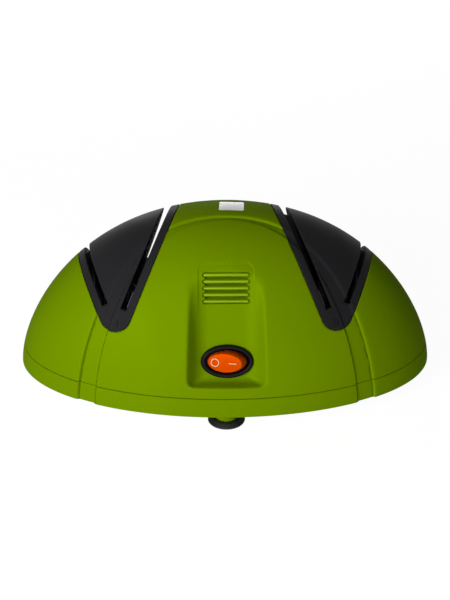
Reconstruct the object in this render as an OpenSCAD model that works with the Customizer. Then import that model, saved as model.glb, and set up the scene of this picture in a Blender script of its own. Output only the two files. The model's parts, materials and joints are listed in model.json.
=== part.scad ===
// Two-stage wet grinding sharpener: a domed housing on suction feet, with a
// through-shaft motor that drives a coarse and a fine stone, each running in
// its own water tray under a V-shaped knife guide with two slots.
// Millimetres. X runs left to right, Y front to back, Z up from the table.

/* [Body] */
// Width of the housing, left to right
body_w = 270; // [262:1:290]
// Depth of the housing, front to back
body_d = 150; // [146:1:165]
// Height of the top above the table
body_h = 119; // [116:1:128]
// Height of the base's underside above the table
foot_h = 12; // [11:0.5:13]
// Height of the base's side band, up to the parting line
band_h = 13; // [12:0.5:15]
// Thickness of the moulded walls
wall = 2.8; // [2.2:0.1:3.2]
// Thickness of the base's floor
floor_t = 2.5; // [2:0.1:3]
// Gap that shows as the parting line
part_gap = 0.4; // [0.3:0.1:0.6]
// Depth of the arched band between the front and side panels
band_d = 0.9; // [0.6:0.1:1.2]

/* [Knife guides] */
// Distance of each stone's mid plane from the middle
guide_x = 68; // [66:0.5:72]
// Angle that each slot leans from upright
blade_lean = 20.5; // [18:0.5:22]
// Angle that each slot toes in towards the front
toe = 10; // [8:0.5:11]
// Clear width of a slot
slot_w = 3.8; // [3.4:0.1:4.4]
// Distance between the two slots of a guide, at blade height over the shaft
slot_spread = 26; // [25:0.5:28]
// Height of a blade's edge over the shaft
blade_z = 72; // [71:0.5:73]
// Width of the rim outside each slot's middle
rim_w = 6.5; // [6:0.1:7.5]
// Radius of the guide's rounded front end
tip_r = 10; // [8:0.5:11]
// Thickness of the guide's skin and of its slot walls
guide_t = 2.5; // [2:0.1:2.7]
// How far in front of the shaft the slots end
slot_front = 47; // [45:0.5:49]
// Depth of the slots' floor below blade height, at the front
slot_drop = 4; // [3:0.5:5]
// Slope of the slots' floor, down towards the back
slot_slope = 7.5; // [6:0.5:9]
// Height of the guide's lower edge at the back
guide_z = 47; // [46:0.5:49]
// Clearance all round a guide in its opening
guide_fit = 0.4; // [0.3:0.05:0.6]
// Thickness of the spring strips in the slots
strip_t = 0.5; // [0.3:0.1:0.6]

/* [Switch recess] */
// Width of the recess at its rim
recess_w = 48; // [46:1:52]
// Width of the recess's flat floor
panel_w = 33; // [33:0.5:36]
// Height of the recess's lower edge
recess_z = 32; // [31:0.5:33]
// Depth of the recess's floor at its lower edge, in from the housing's front
panel_in = 13; // [12:0.5:14]
// Lean of the recess's floor
panel_lean = 16.3; // [15:0.1:17]
// Corner radius of the recess
recess_r = 6; // [4:0.5:8]
// Number of ribs above the switch
ribs = 5; // [3:1:6]
// Length of a rib
rib_w = 29; // [24:0.5:31]
// Thickness of a rib
rib_t = 1.6; // [1.2:0.1:2]
// Distance from one rib to the next
rib_pitch = 4.1; // [3.4:0.1:4.4]
// Distance of the first rib below the recess's upper end
rib_drop = 4.2; // [3:0.1:8]

/* [Rocker switch] */
// Width of the oval bezel
bezel_w = 33; // [31:0.5:33]
// Height of the oval bezel
bezel_h = 21.6; // [20:0.2:22]
// Thickness of the bezel
bezel_t = 3; // [2:0.5:3.5]
// Width of the rocker
rocker_w = 25; // [23:0.5:26]
// Height of the rocker
rocker_h = 14; // [12:0.5:15]
// Height of the rocker's face over its pivot
rocker_top = 6.5; // [5.5:0.5:7]
// Tilt of the rocker to either side
rocker_tilt = 16; // [12:1:17]
// Depth of the switch behind the panel
switch_depth = 18; // [15:0.5:19]
// Distance of the switch's middle up the panel
switch_up = 12.7; // [12.5:0.1:15]

/* [Stones and shaft] */
// Diameter of a stone
stone_d = 60; // [56:1:62]
// Thickness of a stone
stone_t = 18; // [16:0.5:18]
// Height of the shaft
shaft_z = 50; // [49:0.5:51]
// Diameter of the shaft
shaft_d = 8; // [6:0.5:9]
// Diameter of the stone's bore, round its hub
hub_d = 14; // [13:0.5:16]
// Diameter of the hub's flange
flange_d = 26; // [22:1:30]
// Thickness of the hub's flange
flange_t = 3; // [2:0.5:4]
// Across flats of the shaft nuts
nut_af = 13; // [11:0.5:13]
// Thickness of the shaft nuts
nut_t = 5; // [4:0.5:6]
// Radial clearance of a turning fit
run_fit = 0.04; // [0.02:0.01:0.08]

/* [Motor] */
// Thickness of the lamination stack
stack_t = 26; // [22:1:28]
// Height of the lamination stack
stack_h = 48; // [46:1:50]
// Diameter of the rotor
rotor_d = 26; // [24:0.5:28]
// Air gap round the rotor
air_gap = 0.5; // [0.4:0.1:0.8]
// Depth of the coil window
window_d = 10.5; // [10:0.1:11.5]
// Width of the iron leg that carries the coil
leg_d = 9; // [8:0.5:10]
// Thickness of the winding
winding_t = 7.5; // [6.5:0.1:8.2]
// Outer diameter of the bearing bushes
bush_d = 12; // [11:0.5:14]
// Length of the bearing bushes
bush_l = 9; // [8:0.5:10]
// Diameter of the cooling fan
fan_d = 42; // [36:1:46]
// Number of fan blades
fan_blades = 9; // [5:1:12]

/* [Water trays] */
// Inside width of a tray
tray_w = 31; // [30:0.5:33]
// Inside length of a tray
tray_l = 70; // [68:1:74]
// Height of a tray's rim
tray_z = 42; // [38:0.5:42]
// Wall thickness of a tray
tray_t = 2; // [1.5:0.1:2.2]

/* [Feet and cord inlet] */
// Diameter of a suction foot
cup_d = 23.6; // [20:0.2:26]
// Height of a foot's rubber disc
cup_h = 2.8; // [2.4:0.1:4]
// Diameter of the boss above a foot
boss_d = 14.4; // [13:0.2:17]
// Diameter of a foot's stem
stem_d = 8; // [6:0.5:9]
// Distance of the front and rear feet from the middle
foot_y = 59; // [55:0.5:60]
// Distance of the left and right feet from the middle
foot_x = 108; // [100:1:115]
// Diameter of the cord hole in the inlet gland
cord_d = 7; // [6:0.1:7.4]

/* [Hidden] */

green = "yellowgreen";
black = "#2a2a2e";
steel = "silver";
eps = 0.01;

// Housing surface: a superellipse turned round Z, then narrowed along Y
rise_p = 1.57;
round_q = 2.22;
dome_steps = 12;
dome_sides = 64;
part_z = foot_h + band_h;
floor_z = foot_h + floor_t;

function dome_angle(z, off) =
    asin(sqrt(pow(min(1, max(0, (z - foot_h) / (body_h - off - foot_h))), rise_p)));
function dome_point(angle, off) = [
    (body_w / 2 - off) * pow(max(0, cos(angle)), 2 / round_q),
    foot_h + (body_h - off - foot_h) * pow(sin(angle), 2 / rise_p)];
// Outer Y of the front surface in the middle, at height z
function front_y(z, off = 0) =
    (body_d / 2 - off) * pow(cos(dome_angle(z, off)), 2 / round_q);

// Solid between heights z0 and z1, off inside the outer surface
module dome(off, z0, z1 = 1000) {
    low = dome_angle(z0, off);
    high = dome_angle(z1, off);
    steps = ceil(dome_steps * (high - low) / 90);
    ring = [for (i = [0:steps]) dome_point(low + (high - low) * i / steps, off)];
    scale([1, (body_d / 2 - off) / (body_w / 2 - off), 1])
        rotate_extrude($fn = dome_sides)
            polygon(concat([[0, ring[0][1]]], ring, [[0, ring[steps][1]]]));
}

// A moulded shell, brought to its full width at its lowest edge
module moulded(z) {
    resize([2 * dome_point(dome_angle(z, 0), 0)[0], 0, 0])
        children();
}

// Guides: the slots lie in two planes that meet in a line falling to the back
slope_y = tan(toe);
slope_z = tan(blade_lean) / cos(toe);
spread = norm([slope_y, slope_z]);
edge_tilt = atan2(slope_z, slope_y);
half_open = atan(spread);
slots_meet = (slope_z * blade_z - slot_spread / 2) / spread;
edges_meet = slots_meet - rim_w / sin(half_open);
tip_w = edges_meet + tip_r / sin(half_open);
far = 160;
ledge_w = 3;
ledge_t = 1.6;
ledge_in = rim_w - slot_w / 2 - guide_t - guide_fit;
slot_z = blade_z - slot_drop;

module at_guide(side) {
    translate([side * guide_x, 0, 0])
        children();
}

module along_slots() {
    rotate([edge_tilt, 0, 0])
        linear_extrude(height = 2 * far, center = true)
            children();
}

// Solid between the guide's two long edges, with its rounded front end
module guide_prism(grow) {
    r = tip_r + grow;
    side = [r * cos(half_open), -r * sin(half_open)];
    reach = far * [sin(half_open), cos(half_open)];
    along_slots()
        translate([0, tip_w]) {
            circle(r = r, $fn = 64);
            polygon([side, side + reach, [-side[0] - reach[0], side[1] + reach[1]],
                [-side[0], side[1]]]);
        }
}

// Two parallel-faced layers along the slots, from in to out of their mid planes
module slot_layers(in, out) {
    along_slots()
        for (side = [-1, 1])
            translate([0, slots_meet])
                rotate(-side * half_open)
                    translate([side > 0 ? in : -out, -far / 2])
                        square([out - in, 2 * far]);
}

// Room above the slots' floor, up from lift and back from the front end
module slot_room(grow, length = far, lift = 0, height = far) {
    translate([0, -slot_front, slot_z])
        rotate([-slot_slope, 0, 0])
            translate([-far / 2, -grow, lift - grow])
                cube([far, length + grow, height + grow]);
}

// Room for a stone and its hub's flange, with a margin all round
module stone_room(margin) {
    translate([0, 0, shaft_z])
        rotate([0, 90, 0]) {
            cylinder(r = stone_d / 2 + margin, h = stone_t + 2 * margin, center = true,
                $fn = 96);
            cylinder(r = flange_d / 2 + margin, h = stone_t + 2 * flange_t + 2 * margin,
                center = true, $fn = 64);
        }
}

module knife_guide(side) {
    color(black)
        difference() {
            intersection() {
                dome(0, guide_z);
                at_guide(side)
                    guide_prism(0);
            }
            difference() {
                dome(guide_t, guide_z - 1);
                at_guide(side)
                    intersection() {
                        slot_layers(-slot_w / 2 - guide_t, slot_w / 2 + guide_t);
                        slot_room(guide_t);
                    }
            }
            at_guide(side)
                intersection() {
                    slot_layers(-slot_w / 2, slot_w / 2);
                    slot_room(0);
                }
            at_guide(side)
                stone_room(1.2);
        }
}

module knife_guide_1() {
    knife_guide(-1);
}

module knife_guide_2() {
    knife_guide(1);
}

// Spring strips on the outer wall of each slot
strip_l = 64;
strip_h = 9;
strip_lift = 6;

module blade_springs(side) {
    color(steel)
        intersection() {
            dome(guide_t, guide_z);
            at_guide(side)
                slot_layers(slot_w / 2 - strip_t, slot_w / 2);
            at_guide(side)
                slot_room(0, strip_l, strip_lift, strip_h);
        }
}

module blade_springs_1() {
    blade_springs(-1);
}

module blade_springs_2() {
    blade_springs(1);
}

// Arched band across the front: its outer and inner edge, seen from the front
arch_rise = 1.5;
arch_round = 3;
arch_w = 94;
arch_in_w = 82.5;
arch_steps = 24;
arch_top = 0.7;
arch_in_top = 1.5;

function arch(half, top) = [for (i = [0:arch_steps])
    let(a = 180 * i / arch_steps)
    [sign(cos(a)) * half * pow(abs(cos(a)), 2 / arch_round),
        foot_h + (top - foot_h) * pow(sin(a), 2 / arch_rise)]];

module arch_band() {
    difference() {
        rotate([90, 0, 0])
            linear_extrude(height = body_d)
                difference() {
                    polygon(concat([[arch_w, 0]], arch(arch_w, body_h - arch_top),
                        [[-arch_w, 0]]));
                    polygon(concat([[arch_in_w, -1]],
                        arch(arch_in_w, body_h - arch_in_top), [[-arch_in_w, -1]]));
                }
        dome(band_d, foot_h - eps);
    }
}

// Recess: a flat floor that leans back, with slanted sides
recess_slant = 0.72;
panel_x = panel_w / 2;
panel_y = body_d / 2 - panel_in;

// Distance up the floor, between low and high, where it meets the outer surface
function panel_end(low, high, tries) =
    let(mid = (low + high) / 2,
        y = panel_y - mid * sin(panel_lean),
        inside = y < front_y(recess_z + mid * cos(panel_lean)))
    tries == 0 ? mid : panel_end(inside ? mid : low, inside ? high : mid, tries - 1);

module on_panel() {
    translate([0, -panel_y, recess_z])
        rotate([90 - panel_lean, 0, 0])
            children();
}

module rounded_rect(w, h, r) {
    translate([r, 0])
        square([w - 2 * r, h]);
    translate([0, r])
        square([w, h - 2 * r]);
    for (x = [r, w - r], y = [r, h - r])
        translate([x, y])
            circle(r = r, $fn = 48);
}

module recess(grow) {
    reach = 24;
    low = panel_x + grow;
    intersection() {
        translate([0, -panel_y, recess_z])
            rotate([-panel_lean, 0, 0])
                translate([0, 0, -20])
                    linear_extrude(height = 110)
                        polygon([[-low, grow], [low, grow],
                            [low + recess_slant * reach, -reach],
                            [-low - recess_slant * reach, -reach]]);
        translate([-recess_w / 2 - grow, 0, recess_z - grow])
            rotate([90, 0, 0])
                linear_extrude(height = body_d)
                    rounded_rect(recess_w + 2 * grow, body_h, recess_r + grow);
    }
}

// Housing screws: posts hang from the upper shell onto bosses of the base
post_x = 99;
post_y = 31;
post_d = 9;
screw_d = 4;
screw_fit = 0.05;
bolt_fit = 0.2;
screw_up = 15;
head_d = 7.4;
head_t = 3;
head_in = 2;

module at_posts() {
    for (x = [-post_x, post_x], y = [-post_y, post_y])
        translate([x, y, 0])
            children();
}

// Rocker switch: an oval housing with a spheroid rocker on a pin
switch_fit = 0.2;
switch_wall = 1.2;
body_oval_w = rocker_w + 2 * switch_fit + 2 * switch_wall;
body_oval_h = rocker_h + 2 * switch_fit + 2 * switch_wall;

function oval(w, h, n = 56) = [for (i = [0:n - 1])
    [w / 2 * cos(360 * i / n), h / 2 * sin(360 * i / n)]];

module upper_shell() {
    color(green)
        moulded(part_z) {
            difference() {
                dome(0, part_z);
                difference() {
                    dome(wall, part_z - 1);
                    recess(wall);
                    at_posts()
                        cylinder(d = post_d, h = body_h, $fn = 32);
                    for (side = [-1, 1])
                        guide_ledge(side);
                }
                for (side = [-1, 1]) {
                    difference() {
                        guide_opening(side, guide_fit);
                        dome(wall, part_z - 1);
                    }
                    guide_opening(side, -ledge_in);
                }
                recess(0);
                on_panel()
                    translate([0, switch_up, -2 * wall])
                        linear_extrude(height = 3 * wall)
                            polygon(oval(body_oval_w + 2 * switch_fit,
                                body_oval_h + 2 * switch_fit));
                at_posts()
                    translate([0, 0, part_z - 1])
                        cylinder(d = screw_d + 2 * screw_fit, h = screw_up + 2, $fn = 24);
                arch_band();
            }
            panel_ribs();
        }
}

// A ledge inside the opening, which the guide's rim sits over
module guide_ledge(side) {
    difference() {
        guide_opening(side, ledge_w);
        dome(wall + ledge_t, part_z - 1);
    }
}

module guide_opening(side, grow) {
    intersection() {
        at_guide(side)
            guide_prism(grow);
        translate([-far, -far, guide_z - grow])
            cube(2 * far);
    }
}

rib_top = panel_end(0, body_h - recess_z, 30) - rib_drop;

module panel_ribs() {
    for (i = [0:ribs - 1])
        on_panel()
            translate([-rib_w / 2 + rib_t / 2, rib_top - i * rib_pitch, 0]) {
                rotate([0, 90, 0])
                    cylinder(d = rib_t, h = rib_w - rib_t, $fn = 12);
                for (x = [0, rib_w - rib_t])
                    translate([x, 0, 0])
                        sphere(d = rib_t, $fn = 12);
            }
}

// Lip of the base that stands inside the upper shell
lip_gap = 0.3;
lip_t = 1.4;
lip_h = 3;

module base_shell() {
    color(green)
        moulded(foot_h)
            difference() {
                union() {
                    difference() {
                        dome(0, foot_h, part_z - part_gap);
                        dome(wall, floor_z, part_z + 1);
                    }
                    difference() {
                        dome(wall + lip_gap, floor_z - eps, part_z + lip_h);
                        dome(wall + lip_gap + lip_t, floor_z - 1, part_z + lip_h + 1);
                        cord_path();
                    }
                    at_posts()
                        translate([0, 0, foot_h])
                            cylinder(d = post_d + 2, h = band_h - part_gap / 2, $fn = 32);
                    at_feet()
                        translate([0, 0, cup_h])
                            cylinder(d = boss_d, h = foot_h - cup_h + floor_t, $fn = 48);
                    at_mounts()
                        translate([0, 0, foot_h])
                            cylinder(d = mount_d, h = floor_t + seat_h, $fn = 32);
                    for (side = [-1, 1])
                        at_guide(side)
                            tray_fence();
                    at_clamp_posts()
                        translate([0, 0, foot_h])
                            cylinder(d = clamp_post_d, h = clamp_z - foot_h, $fn = 32);
                }
                at_posts() {
                    translate([0, 0, foot_h - eps])
                        cylinder(d = head_d + 2 * bolt_fit, h = head_in + head_t + 2 * eps,
                            $fn = 32);
                    cylinder(d = screw_d + 2 * bolt_fit, h = part_z + 1, $fn = 24);
                }
                at_feet()
                    translate([0, 0, cup_h - 1])
                        cylinder(d = stem_d + 0.1, h = stem_l + 1, $fn = 32);
                at_mounts()
                    translate([0, 0, foot_h + 1])
                        cylinder(d = screw_d + 2 * screw_fit, h = 2 * floor_t, $fn = 24);
                at_clamp_posts()
                    translate([0, 0, foot_h + 1])
                        cylinder(d = clamp_screw_d + 2 * screw_fit, h = clamp_z, $fn = 24);
                gland_hole();
                arch_band();
            }
}

// Bare plate on the top
module name_plate() {
    plate_w = 15.5;
    plate_l = 13;
    plate_t = 0.5;
    glue_t = 0.05;
    color("whitesmoke")
        intersection() {
            difference() {
                dome(-glue_t - plate_t, part_z + 1);
                dome(-glue_t, part_z);
            }
            translate([4, 9, 0])
                rotate(-2)
                    translate([-plate_w / 2, -plate_l / 2, 0])
                        linear_extrude(height = 2 * body_h)
                            rounded_rect(plate_w, plate_l, 1.2);
        }
}

pin_d = 2.4;
cavity_l = 11;
terminal_h = 9;
terminal_in = 2;
terminal_w = 4.8;
terminal_t = 0.8;
terminal_pitch = 7;

module on_switch() {
    on_panel()
        translate([0, switch_up, 0])
            children();
}

module terminals() {
    for (i = [-1, 0, 1])
        translate([i * terminal_pitch - terminal_t / 2, -terminal_w / 2,
            -switch_depth - terminal_h])
            cube([terminal_t, terminal_w, terminal_h + terminal_in]);
}

module switch_housing() {
    color("#141417")
        on_switch()
            difference() {
                union() {
                    linear_extrude(height = bezel_t)
                        polygon(oval(bezel_w, bezel_h));
                    translate([0, 0, -switch_depth])
                        linear_extrude(height = switch_depth + 1)
                            polygon(oval(body_oval_w, body_oval_h));
                }
                translate([0, 0, -cavity_l])
                    linear_extrude(height = cavity_l + bezel_t + 1)
                        polygon(oval(rocker_w + 2 * switch_fit, rocker_h + 2 * switch_fit));
                rotate([90, 0, 0])
                    cylinder(d = pin_d + 2 * run_fit, h = body_oval_h - 1, center = true,
                        $fn = 24);
                terminals();
            }
}

module switch_rocker() {
    skirt = 5;
    color("orangered")
        on_switch()
            rotate([0, -rocker_tilt, 0]) {
                intersection() {
                    rotate([90, 0, 0])
                        rotate_extrude($fn = 72)
                            polygon([for (i = [0:24])
                                let(a = -90 + 180 * i / 24)
                                [rocker_w / 2 * cos(a), rocker_h / 2 * sin(a)]]);
                    translate([-rocker_w, -rocker_h, -skirt])
                        cube([2 * rocker_w, 2 * rocker_h, rocker_top + skirt]);
                }
                rotate([90, 0, 0])
                    cylinder(d = pin_d, h = body_oval_h - 1.4, center = true, $fn = 24);
            }
}

module switch_terminals() {
    color("goldenrod")
        on_switch()
            terminals();
}

// Suction feet, one at each end of both centre lines
stem_l = 6.5;
foot_places = [[0, -foot_y], [0, foot_y], [-foot_x, 0], [foot_x, 0]];

module at_feet() {
    for (p = foot_places)
        translate([p[0], p[1], 0])
            children();
}

module suction_foot(i) {
    r = cup_d / 2;
    color("#1c1c1f")
        translate([foot_places[i][0], foot_places[i][1], 0])
            rotate_extrude($fn = 72)
                polygon([[0, 1.4], [r - 5, 1.2], [r - 2, 0], [r, 0], [r, 0.9],
                    [r - 2.4, cup_h], [stem_d / 2, cup_h], [stem_d / 2, cup_h + stem_l],
                    [0, cup_h + stem_l]]);
}

module suction_foot_front() {
    suction_foot(0);
}

module suction_foot_rear() {
    suction_foot(1);
}

module suction_foot_left() {
    suction_foot(2);
}

module suction_foot_right() {
    suction_foot(3);
}

// Motor: the shaft runs along X through the stack
window_y = stack_h / 2;
leg_y = window_y + window_d;
yoke = stack_h / 2 - window_d + 2;
window_h = stack_h - 2 * 10;
bolt = 19;
bolt_d = 4;
bridge_l = 7;
bracket_t = 2.5;
bracket_x = stack_t / 2 + bridge_l;
foot_l = 22;
mount_top = 20.5;
mount_d = 11;
seat_h = 2;
mount_x = bracket_x + 10;
mount_y = 17;

module on_shaft(x = 0) {
    translate([x, 0, shaft_z])
        rotate([0, 90, 0])
            children();
}

module at_mounts() {
    for (x = [-mount_x, mount_x], y = [-mount_y, mount_y])
        translate([x, y, 0])
            children();
}

module at_bolts() {
    for (y = [-bolt, bolt], z = [-bolt, bolt])
        translate([0, y, shaft_z + z])
            rotate([0, 90, 0])
                children();
}

module stator_stack() {
    color("slategray")
        difference() {
            translate([-stack_t / 2, -stack_h / 2, shaft_z - stack_h / 2])
                cube([stack_t, stack_h + window_d + leg_d, stack_h]);
            translate([-stack_t, window_y, shaft_z - window_h / 2])
                cube([2 * stack_t, window_d, window_h]);
            on_shaft()
                cylinder(d = rotor_d + 2 * air_gap, h = 2 * stack_t, center = true, $fn = 64);
            at_bolts()
                cylinder(d = bolt_d + 0.2, h = 2 * stack_t, center = true, $fn = 24);
        }
}

bobbin_t = 1.2;

module about_leg(grow, h) {
    translate([-stack_t / 2 - grow, leg_y - grow, shaft_z - h / 2])
        cube([stack_t + 2 * grow, leg_d + 2 * grow, h]);
}

module coil_bobbin() {
    color("ivory")
        difference() {
            union() {
                about_leg(bobbin_t, window_h);
                for (z = [-1, 1])
                    translate([0, 0, z * (window_h / 2 - bobbin_t / 2)])
                        about_leg(winding_t + bobbin_t + 0.4, bobbin_t);
            }
            about_leg(0, stack_h);
        }
}

module motor_coil() {
    color("darkorange")
        difference() {
            about_leg(winding_t + bobbin_t, window_h - 2 * bobbin_t);
            about_leg(bobbin_t, stack_h);
        }
}

module rotor() {
    color("dimgray")
        on_shaft()
            difference() {
                union() {
                    cylinder(d = rotor_d, h = stack_t, center = true, $fn = 64);
                    cylinder(d = rotor_d - 3, h = stack_t + 5, center = true, $fn = 64);
                }
                cylinder(d = shaft_d, h = 2 * stack_t, center = true, $fn = 48);
            }
}

hub_in = guide_x - stone_t / 2;
hub_out = guide_x + stone_t / 2;
washer_t = 1.5;
shaft_end = hub_out + washer_t + nut_t + 2;

module drive_shaft() {
    color(steel)
        on_shaft() {
            cylinder(d = shaft_d, h = 2 * shaft_end - 2, center = true, $fn = 48);
            for (side = [0, 180])
                rotate([side, 0, 0])
                    translate([0, 0, shaft_end - 1])
                        cylinder(d1 = shaft_d, d2 = shaft_d - 2, h = 1, $fn = 48);
        }
}

module bearing_bracket(side) {
    bridge_t = 6;
    color("lightsteelblue")
        mirror([side < 0 ? 1 : 0, 0, 0])
            difference() {
                union() {
                    translate([bracket_x - bracket_t, -stack_h / 2, mount_top])
                        cube([bracket_t, stack_h, shaft_z + stack_h / 2 - mount_top]);
                    for (z = [-1, 1])
                        translate([stack_t / 2, -stack_h / 2,
                            shaft_z + z * (stack_h / 2 - bridge_t / 2) - bridge_t / 2])
                            cube([bridge_l, stack_h, bridge_t]);
                    translate([bracket_x - bracket_t, -stack_h / 2, mount_top])
                        cube([foot_l, stack_h, bracket_t]);
                    on_shaft(bracket_x - bush_l / 2)
                        cylinder(d = bush_d + 5, h = bush_l, $fn = 48);
                }
                on_shaft(bracket_x - bush_l)
                    cylinder(d = bush_d, h = 2 * bush_l, $fn = 48);
                at_bolts()
                    cylinder(d = bolt_d + 0.2, h = 100, center = true, $fn = 24);
                at_mounts()
                    cylinder(d = screw_d + 0.2, h = shaft_z, $fn = 24);
            }
}

module bearing_bracket_left() {
    bearing_bracket(-1);
}

module bearing_bracket_right() {
    bearing_bracket(1);
}

module bearing_bush(side) {
    color("peru")
        mirror([side < 0 ? 1 : 0, 0, 0])
            on_shaft(bracket_x - bush_l / 2)
                difference() {
                    cylinder(d = bush_d, h = bush_l, $fn = 48);
                    translate([0, 0, -1])
                        cylinder(d = shaft_d + 2 * run_fit, h = bush_l + 2, $fn = 48);
                }
}

module bearing_bush_left() {
    bearing_bush(-1);
}

module bearing_bush_right() {
    bearing_bush(1);
}

module motor_screws() {
    color(steel)
        at_bolts() {
            cylinder(d = bolt_d, h = 2 * bracket_x, center = true, $fn = 24);
            translate([0, 0, -bracket_x - 2.6])
                cylinder(d = 7, h = 2.6, $fn = 32);
            translate([0, 0, bracket_x])
                cylinder(d = 7.6, h = 3.2, $fn = 6);
        }
}

module motor_mounts() {
    color("#26262a")
        at_mounts()
            translate([0, 0, floor_z + seat_h])
                difference() {
                    cylinder(d = mount_d, h = mount_top - floor_z - seat_h, $fn = 32);
                    translate([0, 0, -1])
                        cylinder(d = screw_d + 0.2, h = 10, $fn = 24);
                }
}

module mount_screws() {
    color(steel)
        at_mounts() {
            translate([0, 0, foot_h + 1.5])
                cylinder(d = screw_d, h = mount_top + bracket_t - foot_h - 1.5, $fn = 24);
            translate([0, 0, mount_top + bracket_t])
                cylinder(d = 7, h = 2.4, $fn = 32);
        }
}

fan_x = bracket_x + bush_l / 2 + 1;
fan_l = 8;

module cooling_fan() {
    blade_t = 1.2;
    color("dodgerblue")
        on_shaft(fan_x)
            difference() {
                union() {
                    cylinder(d = shaft_d + 6, h = fan_l, $fn = 48);
                    cylinder(d = fan_d - 6, h = 1.4, $fn = 64);
                    for (i = [0:fan_blades - 1])
                        rotate(i * 360 / fan_blades)
                            translate([shaft_d / 2 + 1, -blade_t / 2, 0])
                                cube([fan_d / 2 - shaft_d / 2 - 1, blade_t, fan_l]);
                }
                translate([0, 0, -1])
                    cylinder(d = shaft_d, h = fan_l + 2, $fn = 48);
            }
}

// Discs that throw water off the shaft before it reaches the motor
slinger_x = 46;
slinger_d = 20;
slinger_t = 1.8;
collar_d = 12;
collar_l = 5;

module water_slinger(side) {
    color("#303035")
        on_shaft(side * slinger_x)
            difference() {
                union() {
                    cylinder(d = slinger_d, h = slinger_t, center = true, $fn = 48);
                    cylinder(d = collar_d, h = collar_l, center = true, $fn = 48);
                }
                cylinder(d = shaft_d, h = 2 * collar_l, center = true, $fn = 48);
            }
}

module water_slinger_1() {
    water_slinger(-1);
}

module water_slinger_2() {
    water_slinger(1);
}

module wheel_hub(side) {
    color("gainsboro")
        mirror([side < 0 ? 1 : 0, 0, 0])
            on_shaft(hub_in - flange_t)
                difference() {
                    union() {
                        cylinder(d = flange_d, h = flange_t, $fn = 64);
                        cylinder(d = hub_d, h = flange_t + stone_t - 0.5, $fn = 48);
                    }
                    translate([0, 0, -1])
                        cylinder(d = shaft_d, h = stone_t + flange_t + 2, $fn = 48);
                }
}

module wheel_hub_1() {
    wheel_hub(-1);
}

module wheel_hub_2() {
    wheel_hub(1);
}

module grinding_wheel(side) {
    bevel = 2;
    r = stone_d / 2;
    mirror([side < 0 ? 1 : 0, 0, 0])
        on_shaft(hub_in)
            rotate_extrude($fn = 96)
                polygon([[hub_d / 2, 0], [r - bevel, 0], [r, bevel], [r, stone_t - bevel],
                    [r - bevel, stone_t], [hub_d / 2, stone_t]]);
}

module grinding_wheel_coarse() {
    color("gray")
        grinding_wheel(-1);
}

module grinding_wheel_fine() {
    color("linen")
        grinding_wheel(1);
}

module wheel_washer(side) {
    color(steel)
        mirror([side < 0 ? 1 : 0, 0, 0])
            on_shaft(hub_out)
                difference() {
                    cylinder(d = flange_d - 4, h = washer_t, $fn = 48);
                    translate([0, 0, -1])
                        cylinder(d = shaft_d, h = washer_t + 2, $fn = 48);
                }
}

module wheel_washer_1() {
    wheel_washer(-1);
}

module wheel_washer_2() {
    wheel_washer(1);
}

module shaft_nut(side) {
    color(steel)
        mirror([side < 0 ? 1 : 0, 0, 0])
            on_shaft(hub_out + washer_t)
                difference() {
                    cylinder(d = nut_af / cos(30), h = nut_t, $fn = 6);
                    translate([0, 0, -1])
                        cylinder(d = shaft_d, h = nut_t + 2, $fn = 48);
                }
}

module shaft_nut_1() {
    shaft_nut(-1);
}

module shaft_nut_2() {
    shaft_nut(1);
}

// Water trays stand on the base inside a low fence
module centred_rect(w, l, r) {
    translate([-w / 2, -l / 2])
        rounded_rect(w, l, r);
}

module water_tray(side) {
    color("lightcyan")
        at_guide(side)
            difference() {
                translate([0, 0, floor_z])
                    linear_extrude(height = tray_z - floor_z)
                        centred_rect(tray_w + 2 * tray_t, tray_l + 2 * tray_t, 6);
                translate([0, 0, floor_z + tray_t])
                    linear_extrude(height = tray_z)
                        centred_rect(tray_w, tray_l, 6 - tray_t);
            }
}

module tray_fence() {
    fence_fit = 0.3;
    fence_h = 3;
    difference() {
        translate([0, 0, foot_h])
            linear_extrude(height = floor_t + fence_h)
                centred_rect(tray_w + 2 * tray_t + 2 * fence_fit + 3,
                    tray_l + 2 * tray_t + 2 * fence_fit + 3, 7.5);
        translate([0, 0, floor_z])
            linear_extrude(height = 10)
                centred_rect(tray_w + 2 * tray_t + 2 * fence_fit,
                    tray_l + 2 * tray_t + 2 * fence_fit, 6);
    }
}

module water_tray_1() {
    water_tray(-1);
}

module water_tray_2() {
    water_tray(1);
}

module housing_screws() {
    color(steel)
        at_posts() {
            translate([0, 0, foot_h + head_in])
                cylinder(d = head_d, h = head_t, $fn = 32);
            translate([0, 0, foot_h + head_in + head_t - eps])
                cylinder(d = screw_d, h = part_z + screw_up - foot_h - head_in - head_t,
                    $fn = 24);
        }
}

// Cord inlet: a gland in the back wall of the base, and a clamp inside
gland_z = foot_h + 7.2;
gland_d = 11;
gland_l = 9;
clamp_in = 17;
clamp_y = body_d / 2 - clamp_in;
clamp_z = gland_z + 3.2;
clamp_post_d = 7;
clamp_half = 9.5;
clamp_screw_d = 3;
clamp_screw_l = 10;
clamp_bar_t = 3;
clamp_bar_w = 8;

module cord_path() {
    translate([0, 0, gland_z])
        rotate([-90, 0, 0])
            cylinder(d = gland_d + 4, h = body_d, $fn = 32);
}

// Along the cord's way, with 0 at the gland's inner end
module at_gland() {
    translate([0, body_d / 2 - gland_l, gland_z])
        rotate([-90, 0, 0])
            children();
}

module gland_hole() {
    at_gland()
        translate([0, 0, -1])
            cylinder(d = gland_d + 0.1, h = 2 * gland_l, $fn = 48);
}

module cord_gland() {
    color("#1c1c1f")
        at_gland()
            difference() {
                cylinder(d = gland_d, h = gland_l, $fn = 48);
                translate([0, 0, -1])
                    cylinder(d = cord_d, h = gland_l + 2, $fn = 48);
            }
}

module at_clamp_posts() {
    for (x = [-clamp_half, clamp_half])
        translate([x, clamp_y, 0])
            children();
}

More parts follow.
